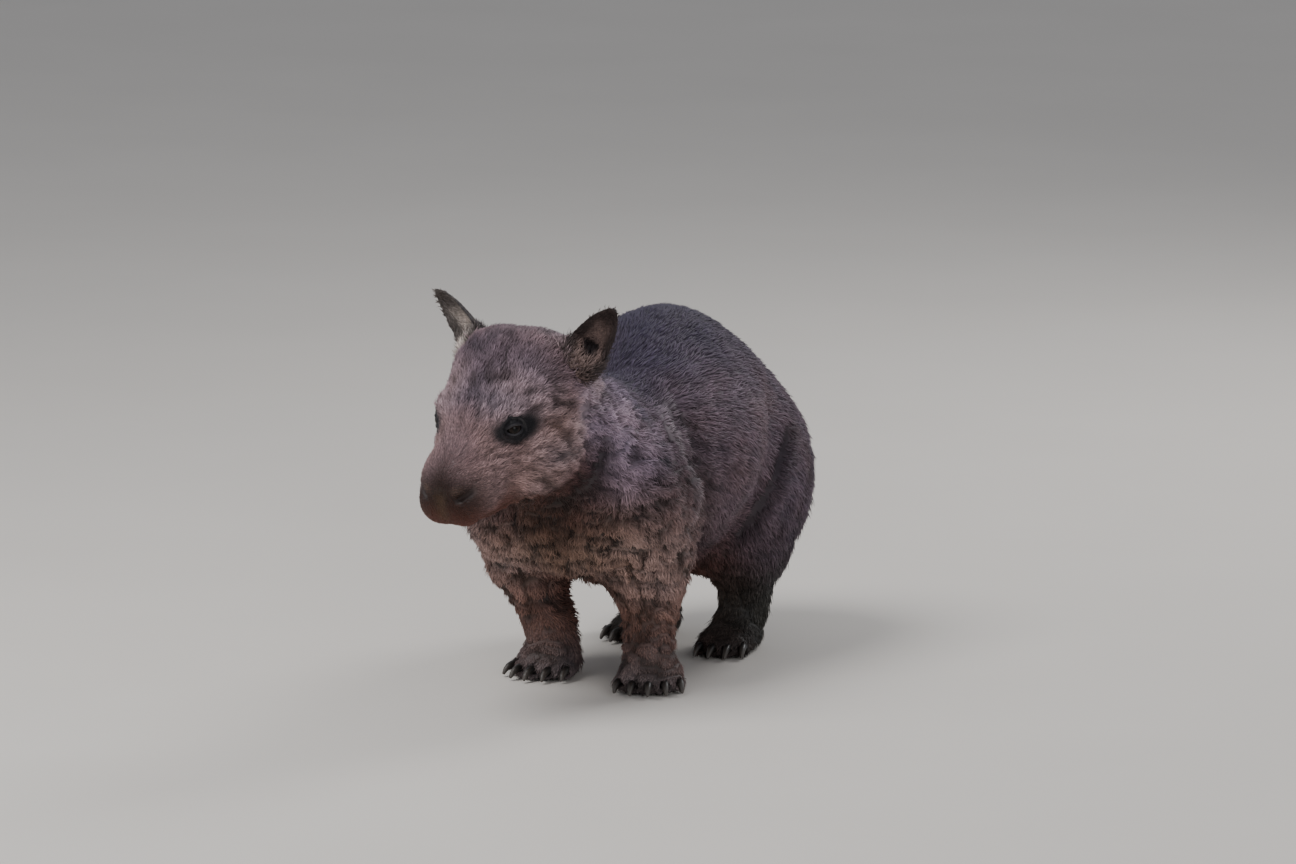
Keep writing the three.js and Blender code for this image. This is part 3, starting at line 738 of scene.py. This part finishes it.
def fold_shares(points):
    """How strongly each fold marks each point, and its tint."""
    for line, width, tint, strength in marks:
        away = distance_to(points, line, width)
        yield strength * np.exp(-((away / width / 1.2) ** 2))[:, None], tint


def coat_colour_light_and_shade(points, shares):
    """The colour of the coat at each point: cloudy variation, painted light and shade on the curls, and the
    folds' tints.
    """
    colour = shares @ colour_table
    cloud = grain(points, mm(38), 1) * 0.5 + grain(points, mm(13), 2) * 0.5
    warm = grain(points, mm(26), 3)[:, None] * np.array([0.06, 0.0, -0.06])
    # The crests of the curls are painted lighter and their furrows darker, as painted light and shade.
    crest = look_at(shares, "ripple") * curl_at(points, shares)
    colour = colour * np.maximum(1 + 0.12 * cloud[:, None] + warm + 0.9 * crest[:, None], DARKEST)
    # The folds' tints: mostly painted shade in dents and painted highlight on the shoulder's ridges, with
    # some real colour round mouth and nose.
    for share, tint in fold_shares(points):
        colour = colour * (1 - share) + tint * share
    return colour


rise = look_at(skin_shares, "ripple") * CURL_HEIGHT * curl_at(skin_points, skin_shares)
skin_points = skin_points + point_normals(skin_points, skin_triangles) * rise[:, None]
skin_normals = point_normals(skin_points, skin_triangles)
skin_shares = coat_shares(skin_points)
skin = new_object("skin", skin_points, skin_faces)
# The skin takes the coat's colours, darkened as painted shade under the hair.
paint(skin, coat_colour_light_and_shade(skin_points, skin_shares) * SKIN_SHADE_UNDER_HAIR)
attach(skin, "root")
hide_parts(*[node for node in FLESH if not node.startswith("eye")])
print("skin:", len(skin_points), "points")

# %% [markdown]
# ## Materials
#
# Each surface starts from what it really is. Hair and horn are keratin, with an IOR of about 1.55.
# Hair scatters light along its length, so a coat's gloss is broad and weak. Bare skin is a little
# oily and finely pored. A Principled shader covers them all, and the colours come from the points,
# because the markings, and the light and shade painted with them, belong to the animal's shape. One
# small function adds a node with its settings and links.

# %% Node helpers
def add(tree, kind, inputs=(), **settings):
    """Adds a node. Inputs are values, or other nodes' sockets to link."""
    node = tree.nodes.new(kind)
    for key, value in settings.items():
        setattr(node, key, value)
    for key, value in dict(inputs).items():
        if isinstance(value, bpy.types.NodeSocket):
            tree.links.new(value, node.inputs[key])
        else:
            node.inputs[key].default_value = value
    return node


def material(name, **values):
    """A Principled material with its node tree and its shader."""
    made = bpy.data.materials.new(name)
    made.use_nodes = True
    shader = made.node_tree.nodes["Principled BSDF"]
    for key, value in values.items():
        shader.inputs[key.replace("_", " ")].default_value = value
    return made, made.node_tree, shader


def painted_material(name, **values):
    """A material that takes its colour from the points of the mesh."""
    made, tree, shader = material(name, **values)
    painted = add(tree, "ShaderNodeAttribute", attribute_name="fur_colour")
    tree.links.new(painted.outputs["Color"], shader.inputs["Base Color"])
    return made, tree, shader


def pores(tree, shader, size, height, strength, detail=4.0):
    """Fine bumps of some size and height, and the noise that they come from."""
    place = add(tree, "ShaderNodeTexCoord")
    spread = {"Vector": place.outputs["Object"], "Scale": 1 / size, "Detail": detail}
    noise = add(tree, "ShaderNodeTexNoise", spread)
    relief = {"Height": noise.outputs["Fac"], "Strength": strength, "Distance": height}
    bump = add(tree, "ShaderNodeBump", relief)
    tree.links.new(bump.outputs["Normal"], shader.inputs["Normal"])
    return noise


# %% Fur and skin
fur = painted_material("wombat_fur", Roughness=0.6, IOR=1.55, Specular_IOR_Level=0.3)[0]
hide, hide_tree, hide_shader = painted_material("wombat_skin", Roughness=0.6, IOR=1.45)
pores(hide_tree, hide_shader, mm(1.43), mm(0.6), 0.5)
skin.data.materials.append(hide)
print("materials:", fur.name, hide.name)

# %% [markdown]
# ## One lock of hair
#
# Real fur is far finer than any mesh can be, so a lock stands for a few dozen hairs: a thin, flat
# blade with a low ridge, which bends from its root back down over the next locks. Hair particles
# would be quicker, but only solid mesh can be kept with the part. Each lock has seven points: a
# triangle at its root, a triangle at its middle, and the tip. The tips of neighbours draw together
# into clumps, as those of damp or dusty hair do.

# %% Roots and clumps
CLUMP_SIZE = mm(7)


def scatter(points, triangles, spacing):
    """Roots spread evenly over triangles: their corners' numbers and weights."""
    a, b, c = (points[triangles[:, i]] for i in range(3))
    area = np.linalg.norm(np.cross(b - a, c - a), axis=1) / 2
    wanted = area / spacing[triangles].mean(axis=1) ** 2
    count = np.floor(wanted + rng.random(len(area))).astype(int)
    chosen = np.repeat(np.arange(len(triangles)), count)
    u, v = rng.random((2, len(chosen)))
    over = u + v > 1
    u[over], v[over] = 1 - u[over], 1 - v[over]
    return triangles[chosen], np.stack([1 - u - v, u, v], axis=1)


def blend(weights, values, corners):
    """The mean of the corners' values at each root."""
    return np.einsum("ij,ijk->ik", weights, values[corners])


def clump_centres(points):
    """The nearest of many centres, one in each cell of a grid, set off at random."""
    cell = np.floor(points / CLUMP_SIZE).astype(np.int64)
    best = np.full(len(points), np.inf)
    centre = points.copy()
    for step in itertools.product((-1, 0, 1), repeat=3):
        other = cell + step
        offsets = np.stack([cell_values(other, axis * 7919) for axis in range(3)], axis=1)
        place = (other + offsets) * CLUMP_SIZE
        away = np.linalg.norm(place - points, axis=1)
        nearer = away < best
        best[nearer] = away[nearer]
        centre[nearer] = place[nearer]
    return centre


# %% The shape of the locks
LOCK_FACES = np.array(
    [[0, 1, 4], [0, 4, 3], [1, 2, 5], [1, 5, 4], [2, 0, 3], [2, 3, 5], [3, 4, 6], [4, 5, 6], [5, 3, 6]]
)
LOCK_POINTS = 7
ROOT_DEPTH = 0.12  # of the lock's length
DEEPEST_ROOT = mm(0.8)
LOWEST_LIFT, HIGHEST_LIFT = np.radians((3, 50))
RIDGE = 0.4  # of half the lock's width
LOWEST_HAIR = mm(0.3)


def lock_points(roots, normals, shares, clumps):
    """Seven points for a lock on each root."""
    count = len(roots)
    looks = dict(zip(LOOKS, (shares @ look_table).T))
    way = lie_at(roots, normals, shares)
    side = np.cross(way, normals)
    swirl = grain(roots, mm(30), 11) * 0.35 + grain(roots, mm(11), 12) * 0.7 * looks["clump"]
    swirl += rng.normal(0, 0.13, count)
    cos, sin = np.cos(swirl)[:, None], np.sin(swirl)[:, None]
    way, side = way * cos + side * sin, side * cos - way * sin
    length = mm(looks["length"]) * rng.uniform(0.75, 1.25, count) * (1 + 0.15 * grain(roots, mm(17), 5))
    for share, _ in fold_shares(roots):
        length *= 1 - 0.3 * share[:, 0]
    wave = grain(roots * (1, 1, 1.6), mm(10), 6)
    lift = np.radians(looks["lift"] * (1 + 0.55 * wave * looks["clump"]) + rng.normal(0, 3, count))
    lift = np.clip(lift, LOWEST_LIFT, HIGHEST_LIFT)
    half = mm(looks["width"]) * rng.uniform(0.4, 0.62, count)

    reach = length[:, None]
    rise = np.sin(lift)[:, None]
    run = np.cos(lift)[:, None]
    base = roots - normals * np.minimum(reach * ROOT_DEPTH, DEEPEST_ROOT)
    middle = base + reach * (way * 0.5 * run + normals * (0.62 * rise))
    tip = base + reach * (way * run + normals * (0.9 * rise))
    bend = (rng.normal(0, 0.3, count) * looks["clump"])[:, None] * reach
    pull = clumps - roots
    pull -= normals * dot(pull, normals)
    pull *= looks["clump"][:, None] * 0.75
    middle += side * bend * 0.7 + pull * 0.45
    tip += pull - side * bend * 0.5

    ridge = normals * half[:, None] * RIDGE
    wide = side * half[:, None]
    at_root = [base - wide * 0.7, base + ridge, base + wide * 0.7]
    at_middle = [middle - wide, middle + ridge, middle + wide]
    points = np.stack([*at_root, *at_middle, tip], axis=1)
    points[..., 2] = np.maximum(points[..., 2], LOWEST_HAIR)
    return points


# %% [markdown]
# ## Colour and map of the locks
#
# A lock is painted darker at its root, as the shade that the other locks cast there, and painted
# lighter along its ridge and at its tip, as highlight. Each lock also has a tone of its own, and locks
# of a clump share one. The map lays each lock on a tiny patch of a square, so that its colour can be
# stored in a picture later on. An unwrap of 160,000 locks would take an hour, so the patches are laid
# out in rows along the piece, and round it within a row.

# %% Colour and map
PATCH = 0.003
# Painted shade at the root of each lock, and painted highlight along its ridge and at its tip.
LOCK_SHADE_AND_HIGHLIGHT = np.array([0.4, 0.45, 0.4, 0.85, 0.95, 0.85, 1.35])
PATCH_FORM = np.array([[0, 0], [0.5, 0], [1, 0], [0, 0.5], [0.5, 0.5], [1, 0.5], [0.5, 1]]) - 0.5


def lock_colours(colour, shares, clumps):
    """A colour for each point of each lock, from one colour for each root."""
    clump_tone = 0.4 * grain(clumps, mm(2.5), 31) * look_at(shares, "clump")
    tone = np.clip(1 + rng.normal(0, 0.16, len(colour)) + clump_tone, 0.4, 1.8)
    return (colour[:, None] * tone[:, None, None] * LOCK_SHADE_AND_HIGHLIGHT[None, :, None]).reshape(-1, 3)


def even_map(points):
    """A place in the unit square for each root: along the piece in rows, and round it in a row."""
    middle = points.mean(axis=0)
    spread = np.linalg.svd(points - middle, full_matrices=False)[2]
    along, up, out = ((points - middle) @ axis for axis in spread)
    angle = np.arctan2(up, out)
    rows = math.ceil(math.sqrt(len(points)))
    places = np.empty((len(points), 2))
    order = np.argsort(along, kind="stable")
    for row in range(rows):
        some = order[row * rows : (row + 1) * rows]
        some = some[np.argsort(angle[some], kind="stable")]
        places[some, 0] = (np.arange(len(some)) + 0.5) / rows
        places[some, 1] = (row + 0.5) / rows
    return places


def grow(name, roots, normals, shares, colour=None):
    """A coat piece with one lock on each root. A colour for each root may stand for the coat's own."""
    count = len(roots)
    clumps = clump_centres(roots)
    points = lock_points(roots, normals, shares, clumps)
    faces = (LOCK_FACES[None] + (np.arange(count) * LOCK_POINTS)[:, None, None]).reshape(-1, 3)
    piece = new_object(name, points.reshape(-1, 3), faces)
    colour = coat_colour_light_and_shade(roots, shares) if colour is None else colour
    paint(piece, lock_colours(colour, shares, clumps))
    uv = even_map(roots)[:, None] + PATCH_FORM[None] * PATCH
    layer = piece.data.uv_layers.new(name="OFBake")
    layer.data.foreach_set("uv", uv.reshape(-1, 2)[faces.reshape(-1)].astype(np.float32).ravel())
    piece.data.materials.append(fur)
    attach(piece, "root")
    print(name, count, "locks,", len(faces), "triangles")


# %% [markdown]
# ## The coat, piece by piece
#
# One mesh of 160,000 locks would be slow to open, so the coat is parted into regions of the body.
# The borders don't show, because the roots are scattered over the whole skin first. Hair is kept
# off the eyes, the nostrils and the soles.

# %% Roots on the whole skin
SOLE_CLEAR = mm(3)
EYE_CLEAR = mm(12)
NOSTRIL_CLEAR = mm(4)
corners, weights = scatter(skin_points, skin_triangles, mm(look_at(skin_shares, "spacing")))
roots = blend(weights, skin_points, corners)
root_normals = unit(blend(weights, skin_normals, corners))
root_shares = blend(weights, skin_shares, corners)
clear = roots[:, 2] > SOLE_CLEAR
for side, place in eye_places.items():
    clear &= np.linalg.norm((roots - place) @ eye_axes[side][:2].T, axis=1) > EYE_CLEAR
for sign in SIDES.values():
    for place in curve_points([in_head(sign * 30, -97, -16), in_head(sign * 16, -105, -24)], 6):
        clear &= np.linalg.norm(roots - place, axis=1) > NOSTRIL_CLEAR
roots, root_normals, root_shares = roots[clear], root_normals[clear], root_shares[clear]
print("locks in all:", len(roots))

# %% Regions of the coat
local = head_coordinates(roots)
on_head = root_shares @ on_head_table > 0.5
on_face = local[:, 1] < mm(12)
on_leg = roots[:, 2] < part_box("leg_fore_left")[0].z + mm(70)
behind_middle = roots[:, 1] - centre_of("torso")[1]
for side, sign in SIDES.items():
    on_side = local[:, 0] * sign > 0
    body = ~on_head & (roots[:, 0] * sign > 0)
    regions = {
        "face": on_head & on_side & on_face,
        "crown": on_head & on_side & ~on_face,
        "foreleg": body & on_leg & (behind_middle < -mm(60)),
        "hindleg": body & on_leg & (behind_middle >= -mm(60)),
        "shoulder": body & ~on_leg & (behind_middle < -mm(120)),
        "flank": body & ~on_leg & (behind_middle >= -mm(120)) & (behind_middle < mm(70)),
        "rump": body & ~on_leg & (behind_middle >= mm(70)),
    }
    for region, where in regions.items():
        grow(f"coat_{region}_{side}", roots[where], root_normals[where], root_shares[where])

# %% [markdown]
# ## Wet eyes
#
# A wombat's eye is small, dark and wet. A plain sphere would look like a bead, so the ball bulges a
# little in front, where the cornea is, and carries a dark brown iris round a black pupil. Both are
# painted by the angle from the way that the eye looks, and smooth tears give it one crisp gloss.
# The ball is written as rings, because its rings then lie round the iris.

# %% Eyeballs
EYE_SIZE = mm(8.5)
BALL_RINGS = 28
BALL_TURNS = 48
CORNEA_BULGE = 0.05
IRIS_INNER = (17, 20)  # degrees from the way the eye looks
IRIS_OUTER = (44, 40)
eye_wet = painted_material("wet_eye", Roughness=0.05, IOR=1.376, Specular_IOR_Level=0.3)[0]


def ring_squares(rings, turns):
    """The corners of the squares between rings of points, in order round each square."""
    i, j = np.meshgrid(np.arange(rings - 1), np.arange(turns), indexing="ij")
    a = (i * turns + j).ravel()
    b = (i * turns + (j + 1) % turns).ravel()
    return np.stack([a, a + turns, b + turns, b], 1)


def make_eyeball(side):
    centre = eye_places[side]
    looks_to = eye_axes[side][2]
    tilt = np.linspace(0, math.pi, BALL_RINGS + 1)[1:-1]
    turn = np.linspace(0, 2 * math.pi, BALL_TURNS, endpoint=False)
    t, f = np.meshgrid(tilt, turn, indexing="ij")
    bulge = 1 + CORNEA_BULGE * np.exp(-((t / 0.55) ** 2))
    ball = np.stack([np.sin(t) * np.cos(f), np.sin(t) * np.sin(f), np.cos(t)], axis=-1) * bulge[..., None]
    ball = ball.reshape(-1, 3) @ eye_axes[side] * EYE_SIZE + centre
    poles = centre + np.outer([1 + CORNEA_BULGE, -1], looks_to) * EYE_SIZE
    points = np.concatenate([ball, poles])
    a, below, below_next, b = ring_squares(BALL_RINGS - 1, BALL_TURNS).T
    sides = np.concatenate([np.stack([a, below, b], 1), np.stack([b, below, below_next], 1)])
    j = np.arange(BALL_TURNS)
    following = (j + 1) % BALL_TURNS
    last = (BALL_RINGS - 2) * BALL_TURNS
    front = np.stack([j, following, np.full(BALL_TURNS, len(ball))], 1)
    back = np.stack([last + following, last + j, np.full(BALL_TURNS, len(ball) + 1)], 1)
    eyeball = new_object(f"eyeball_{side}", points, np.concatenate([sides, front, back]))
    angle = np.degrees(np.arccos(np.clip(unit(points - centre) @ looks_to, -1, 1)))
    iris = smoothstep(*IRIS_INNER, angle) * smoothstep(*IRIS_OUTER, angle)
    paint(eyeball, linear("#040303") + iris[:, None] * (linear("#1a100c") - linear("#040303")))
    eyeball.data.materials.append(eye_wet)
    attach(eyeball, "root")
    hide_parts(f"eye_{side}")


# %% [markdown]
# ## Lids
#
# The lids are bare, dark rims that lie on the eyeball and pass into the skin. A torus would look
# like a button. Here rings of points run from an almond on the ball out to a circle on the skin:
# the inner rings follow the ball, the outer ones what a ray from in front of the eye meets on the
# skin, and those between blend. Very short hair covers all but the rim.

# %% Lids
LID_TURNS = 44
LID_SHARES = (-0.05, 0, 0.04, 0.1, 0.18, 0.3, 0.45, 0.6, 0.75, 0.9, 1)
BARE_RINGS = 4
LID_HAIR_SPACING = mm(1.15)
ALMOND = mm((8.3, 4.4))
LID_REACH = mm(15.5)
RAY_START = mm(40)
lid_skin, lid_tree, lid_shader = material("lid_skin", Roughness=0.38, IOR=1.45)
lid_noise = pores(lid_tree, lid_shader, mm(1.11), mm(0.4), 0.4, 3.0)
lid_tone = add(lid_tree, "ShaderNodeValToRGB", {"Fac": lid_noise.outputs["Fac"]})
lid_tone.color_ramp.elements[0].color = (*linear("#17151a"), 1)
lid_tone.color_ramp.elements[1].color = (*linear("#2e2a2f"), 1)
lid_tree.links.new(lid_tone.outputs["Color"], lid_shader.inputs["Base Color"])


def lid_rings(side):
    """Rings of points from the almond rim on the ball out to a circle on the skin."""
    centre = eye_places[side]
    across, upwards, looks_to = eye_axes[side]
    turn = np.linspace(0, 2 * math.pi, LID_TURNS, endpoint=False)
    flatten = 1 - 0.3 * np.cos(turn) ** 2
    almond = np.stack([ALMOND[0] * np.cos(turn), ALMOND[1] * np.sin(turn) * flatten], axis=1)
    circle = LID_REACH * np.stack([np.cos(turn), np.sin(turn)], axis=1)
    rings = []
    for share in LID_SHARES:
        flat = almond * (1 - share) + circle * share
        far = np.linalg.norm(flat, axis=1)
        thick = mm(0.2) + mm(1.5) * smoothstep(-0.05, 0.1, share)
        over_eye = np.sqrt(np.maximum((EYE_SIZE * 1.02 + thick) ** 2 - far**2, mm(2) ** 2))
        on_coat = []
        for u, v in flat:
            start = centre + u * across + v * upwards + RAY_START * looks_to
            on_coat.append(RAY_START - skin_tree.ray_cast(Vector(start), Vector(-looks_to))[3])
        on_coat = np.array(on_coat) + mm(0.3) - mm(1.6) * smoothstep(0.85, 1, share)
        mix = smoothstep(0.12, 0.75, share)
        rise = over_eye * (1 - mix) + on_coat * mix
        rings.append(centre + flat[:, :1] * across + flat[:, 1:] * upwards + rise[:, None] * looks_to)
    return np.concatenate(rings)


def make_lids(side):
    points = lid_rings(side)
    squares = ring_squares(len(LID_SHARES), LID_TURNS)
    lids = new_object(f"eyelids_{side}", points, squares)
    lids.data.materials.append(lid_skin)
    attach(lids, "root")
    triangles = cut_squares(squares)
    hairy = triangles[triangles.min(axis=1) >= BARE_RINGS * LID_TURNS]
    corners, weights = scatter(points, hairy, np.full(len(points), LID_HAIR_SPACING))
    normals = unit(blend(weights, point_normals(points, triangles), corners))
    shares = np.zeros((len(corners), len(COATS)))
    shares[:, KIND["eye_patch"]] = 1
    grow(f"coat_lids_{side}", blend(weights, points, corners), normals, shares)


for side in SIDES:
    make_eyeball(side)
    make_lids(side)

# %% [markdown]
# ## Ears
#
# An ear is a thin cup of cartilage with very short fur, dark at its rim and tip and paler inside,
# with longer hair at its root. The cup in the frame has the right shape already, so it could keep
# its mesh, but its facets would show. A fine remesh and some relaxing round them, and then the cup
# grows small locks of its own. The tone goes by the distance from the middle line of the ear. The
# opening at the foot of the cup is painted dark as shade, and the inside of the right ear is painted
# paler than that of the left, as light and shade.

# %% Ears
EAR_STEP = mm(0.9)
EAR_DEPTH = mm(0.5)
EAR_SPACING = mm(1.5)
EAR_BARE_BELOW = -mm(13)
# One inside colour, painted paler on the right ear as light and darker on the left as shade.
EAR_INSIDE_LIGHT_AND_SHADE = {"left": "#86706a", "right": "#d2c4bb"}  # the right one is the paler inside
EAR_OUTSIDE = "#5d4f50"
EAR_DARK = "#231c1e"


def ear_parts(side, points, normals):
    """Tone, how far inside the cup, and height over the root, for each point of an ear."""
    sign = SIDES[side]
    root = in_head(sign * 64, 66, 54)
    axis = unit(np.mean(points[np.linalg.norm(points - root, axis=1) > mm(60)], axis=0) - root)
    height = (points - root) @ axis
    facing = unit(sign * 0.35 * head_left - head_back + 0.12 * head_up)
    facing = unit(facing - axis * (facing @ axis))
    inside = smoothstep(0.1, 0.5, normals @ facing)
    from_middle = np.linalg.norm(points - root - np.outer(height, axis), axis=1)
    rim = smoothstep(mm(12), mm(19), from_middle + height * 0.12) * 0.85
    tip = smoothstep(mm(26), mm(54), height) * 0.85
    # The ear's opening, deep in the cup near its root, is painted dark as shade.
    canal_shade = inside * smoothstep(mm(30), mm(12), height) * smoothstep(mm(15), mm(6), from_middle)
    dark = np.maximum.reduce([rim, tip, canal_shade])[:, None]
    tone = inside[:, None] * linear(EAR_INSIDE_LIGHT_AND_SHADE[side]) + (1 - inside[:, None]) * linear(EAR_OUTSIDE)
    return tone * (1 - dark) + linear(EAR_DARK) * dark, inside, height


def make_ear(side):
    source = bpy.data.objects.new(f"ear_form_{side}", frame["nodes"][f"ear_{side}"].data.copy())
    points, faces, edges = voxel_remesh(source, EAR_STEP)
    points = relax(points, edges, 0.5, 10)
    triangles = cut_squares(faces)
    normals = point_normals(points, triangles)
    points = points - normals * EAR_DEPTH
    tone, inside, height = ear_parts(side, points, normals)
    ear = new_object(f"ear_skin_{side}", points, faces)
    # The ear's skin is painted darker than its tone, as the shade between its hairs.
    paint(ear, tone * 0.8)
    ear.data.materials.append(hide)
    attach(ear, "root")
    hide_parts(f"ear_{side}")

    corners, weights = scatter(points, triangles, np.full(len(points), EAR_SPACING))
    root_inside = blend(weights, inside[:, None], corners)[:, 0]
    root_height = blend(weights, height[:, None], corners)[:, 0]
    at_base = smoothstep(mm(26), mm(4), root_height) * 0.8
    shares = np.zeros((len(corners), len(COATS)))
    shares[:, KIND["ear_cup"]] = root_inside * (1 - at_base)
    shares[:, KIND["ear_back"]] = (1 - root_inside) * (1 - at_base)
    shares[:, KIND["ear_root"]] = at_base
    keep = root_height > EAR_BARE_BELOW
    corners, weights, shares = corners[keep], weights[keep], shares[keep]
    root_normals = unit(blend(weights, normals, corners))
    colour = blend(weights, tone, corners) * 1.15
    grow(f"coat_ear_{side}", blend(weights, points, corners), root_normals, shares, colour)


for side in SIDES:
    make_ear(side)

# %% [markdown]
# ## Claws
#
# Claws are horn, which is layered keratin: dark at the root, scratched and paler at the worn tip.
# Their length and bend are the frame's. A bevel would round only the sharp edges of the facets. A
# fine remesh with a little relaxing rounds the whole claw without moving it.

# %% Claws
CLAW_STEP = mm(0.9)
CLAW_FRESH, CLAW_WORN = "#171413", "#4a433e"
claw_horn, claw_tree, claw_shader = painted_material("claw_horn", Roughness=0.42, IOR=1.54)
pores(claw_tree, claw_shader, mm(2), mm(0.3), 0.3)


def make_claw(node):
    source = bpy.data.objects.new("claw_form", frame["nodes"][node].data.copy())
    points, faces, edges = voxel_remesh(source, CLAW_STEP)
    points = relax(points, edges, 0.5, 4)
    foot = centre_of(node.replace("claw", "foot").rsplit("_", 1)[0])
    away = np.linalg.norm((points - foot)[:, :2], axis=1)
    worn = smoothstep(away.min() + mm(8), away.max(), away)[:, None]
    stain = 1 + 0.15 * grain(points, mm(3), 8)[:, None]
    claw = new_object(node.replace("claw", "horn_claw"), points, faces)
    paint(claw, (linear(CLAW_FRESH) * (1 - worn) + linear(CLAW_WORN) * worn) * stain)
    claw.data.materials.append(claw_horn)
    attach(claw, "root")
    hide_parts(node)


claw_nodes = [node for node in frame["nodes"] if node.startswith("claw")]
for node in claw_nodes:
    make_claw(node)
print("claws:", len(claw_nodes))

# %% [markdown]
# ## Studio
#
# Dark fur needs light from several sides, or it turns into a black shape. A sun lamp would draw
# hard shadows between the locks. Large discs give soft ones: a strong key light above the head, a
# weak fill light in front, and one behind that draws the line of the back. The floor is matt and
# pale, with a tone that drifts so little that it only keeps the floor from looking like plastic.

# %% Floor
FLOOR_HALF = 20
FLOOR_CORNERS = [(-1, -1, 0), (1, -1, 0), (1, 1, 0), (-1, 1, 0)]
floor_paint, floor_tree, floor_shader = material("studio_floor", Roughness=0.7)
floor_place = add(floor_tree, "ShaderNodeTexCoord")
floor_grain = add(
    floor_tree, "ShaderNodeTexNoise", {"Vector": floor_place.outputs["Object"], "Scale": 3.0, "Detail": 3.0}
)
floor_tone = add(floor_tree, "ShaderNodeValToRGB", {"Fac": floor_grain.outputs["Fac"]})
floor_tone.color_ramp.elements[0].color = (*linear("#d8d2cb"), 1)
floor_tone.color_ramp.elements[1].color = (*linear("#dfd9d2"), 1)
floor_tree.links.new(floor_tone.outputs["Color"], floor_shader.inputs["Base Color"])
floor = new_object("floor", np.array(FLOOR_CORNERS) * FLOOR_HALF, np.array([[0, 1, 2, 3]]))
floor.data.materials.append(floor_paint)

# %% Lights and air
LIGHT_AIM = Vector((0, 0, 0.2))


def soft_light(name, place, size, power):
    lamp = bpy.data.lights.new(name, "AREA")
    lamp.shape = "DISK"
    lamp.size = size
    lamp.energy = power
    made = bpy.data.objects.new(name, lamp)
    made.location = place
    made.rotation_euler = (LIGHT_AIM - Vector(place)).to_track_quat("-Z", "Y").to_euler()
    bpy.context.scene.collection.objects.link(made)


soft_light("key_light", (-1.0, -1.2, 2.6), 1.6, 60)
soft_light("fill_light", (1.8, -2.2, 1.0), 1.6, 14)
soft_light("back_light", (0.8, 2.2, 1.8), 1.0, 26)
world = bpy.data.worlds.new("studio_air")
bpy.context.scene.world = world
world.use_nodes = True
world.node_tree.nodes["Background"].inputs["Color"].default_value = (*linear("#dfe3ea"), 1)
world.node_tree.nodes["Background"].inputs["Strength"].default_value = 0.45
print("lights: 3")
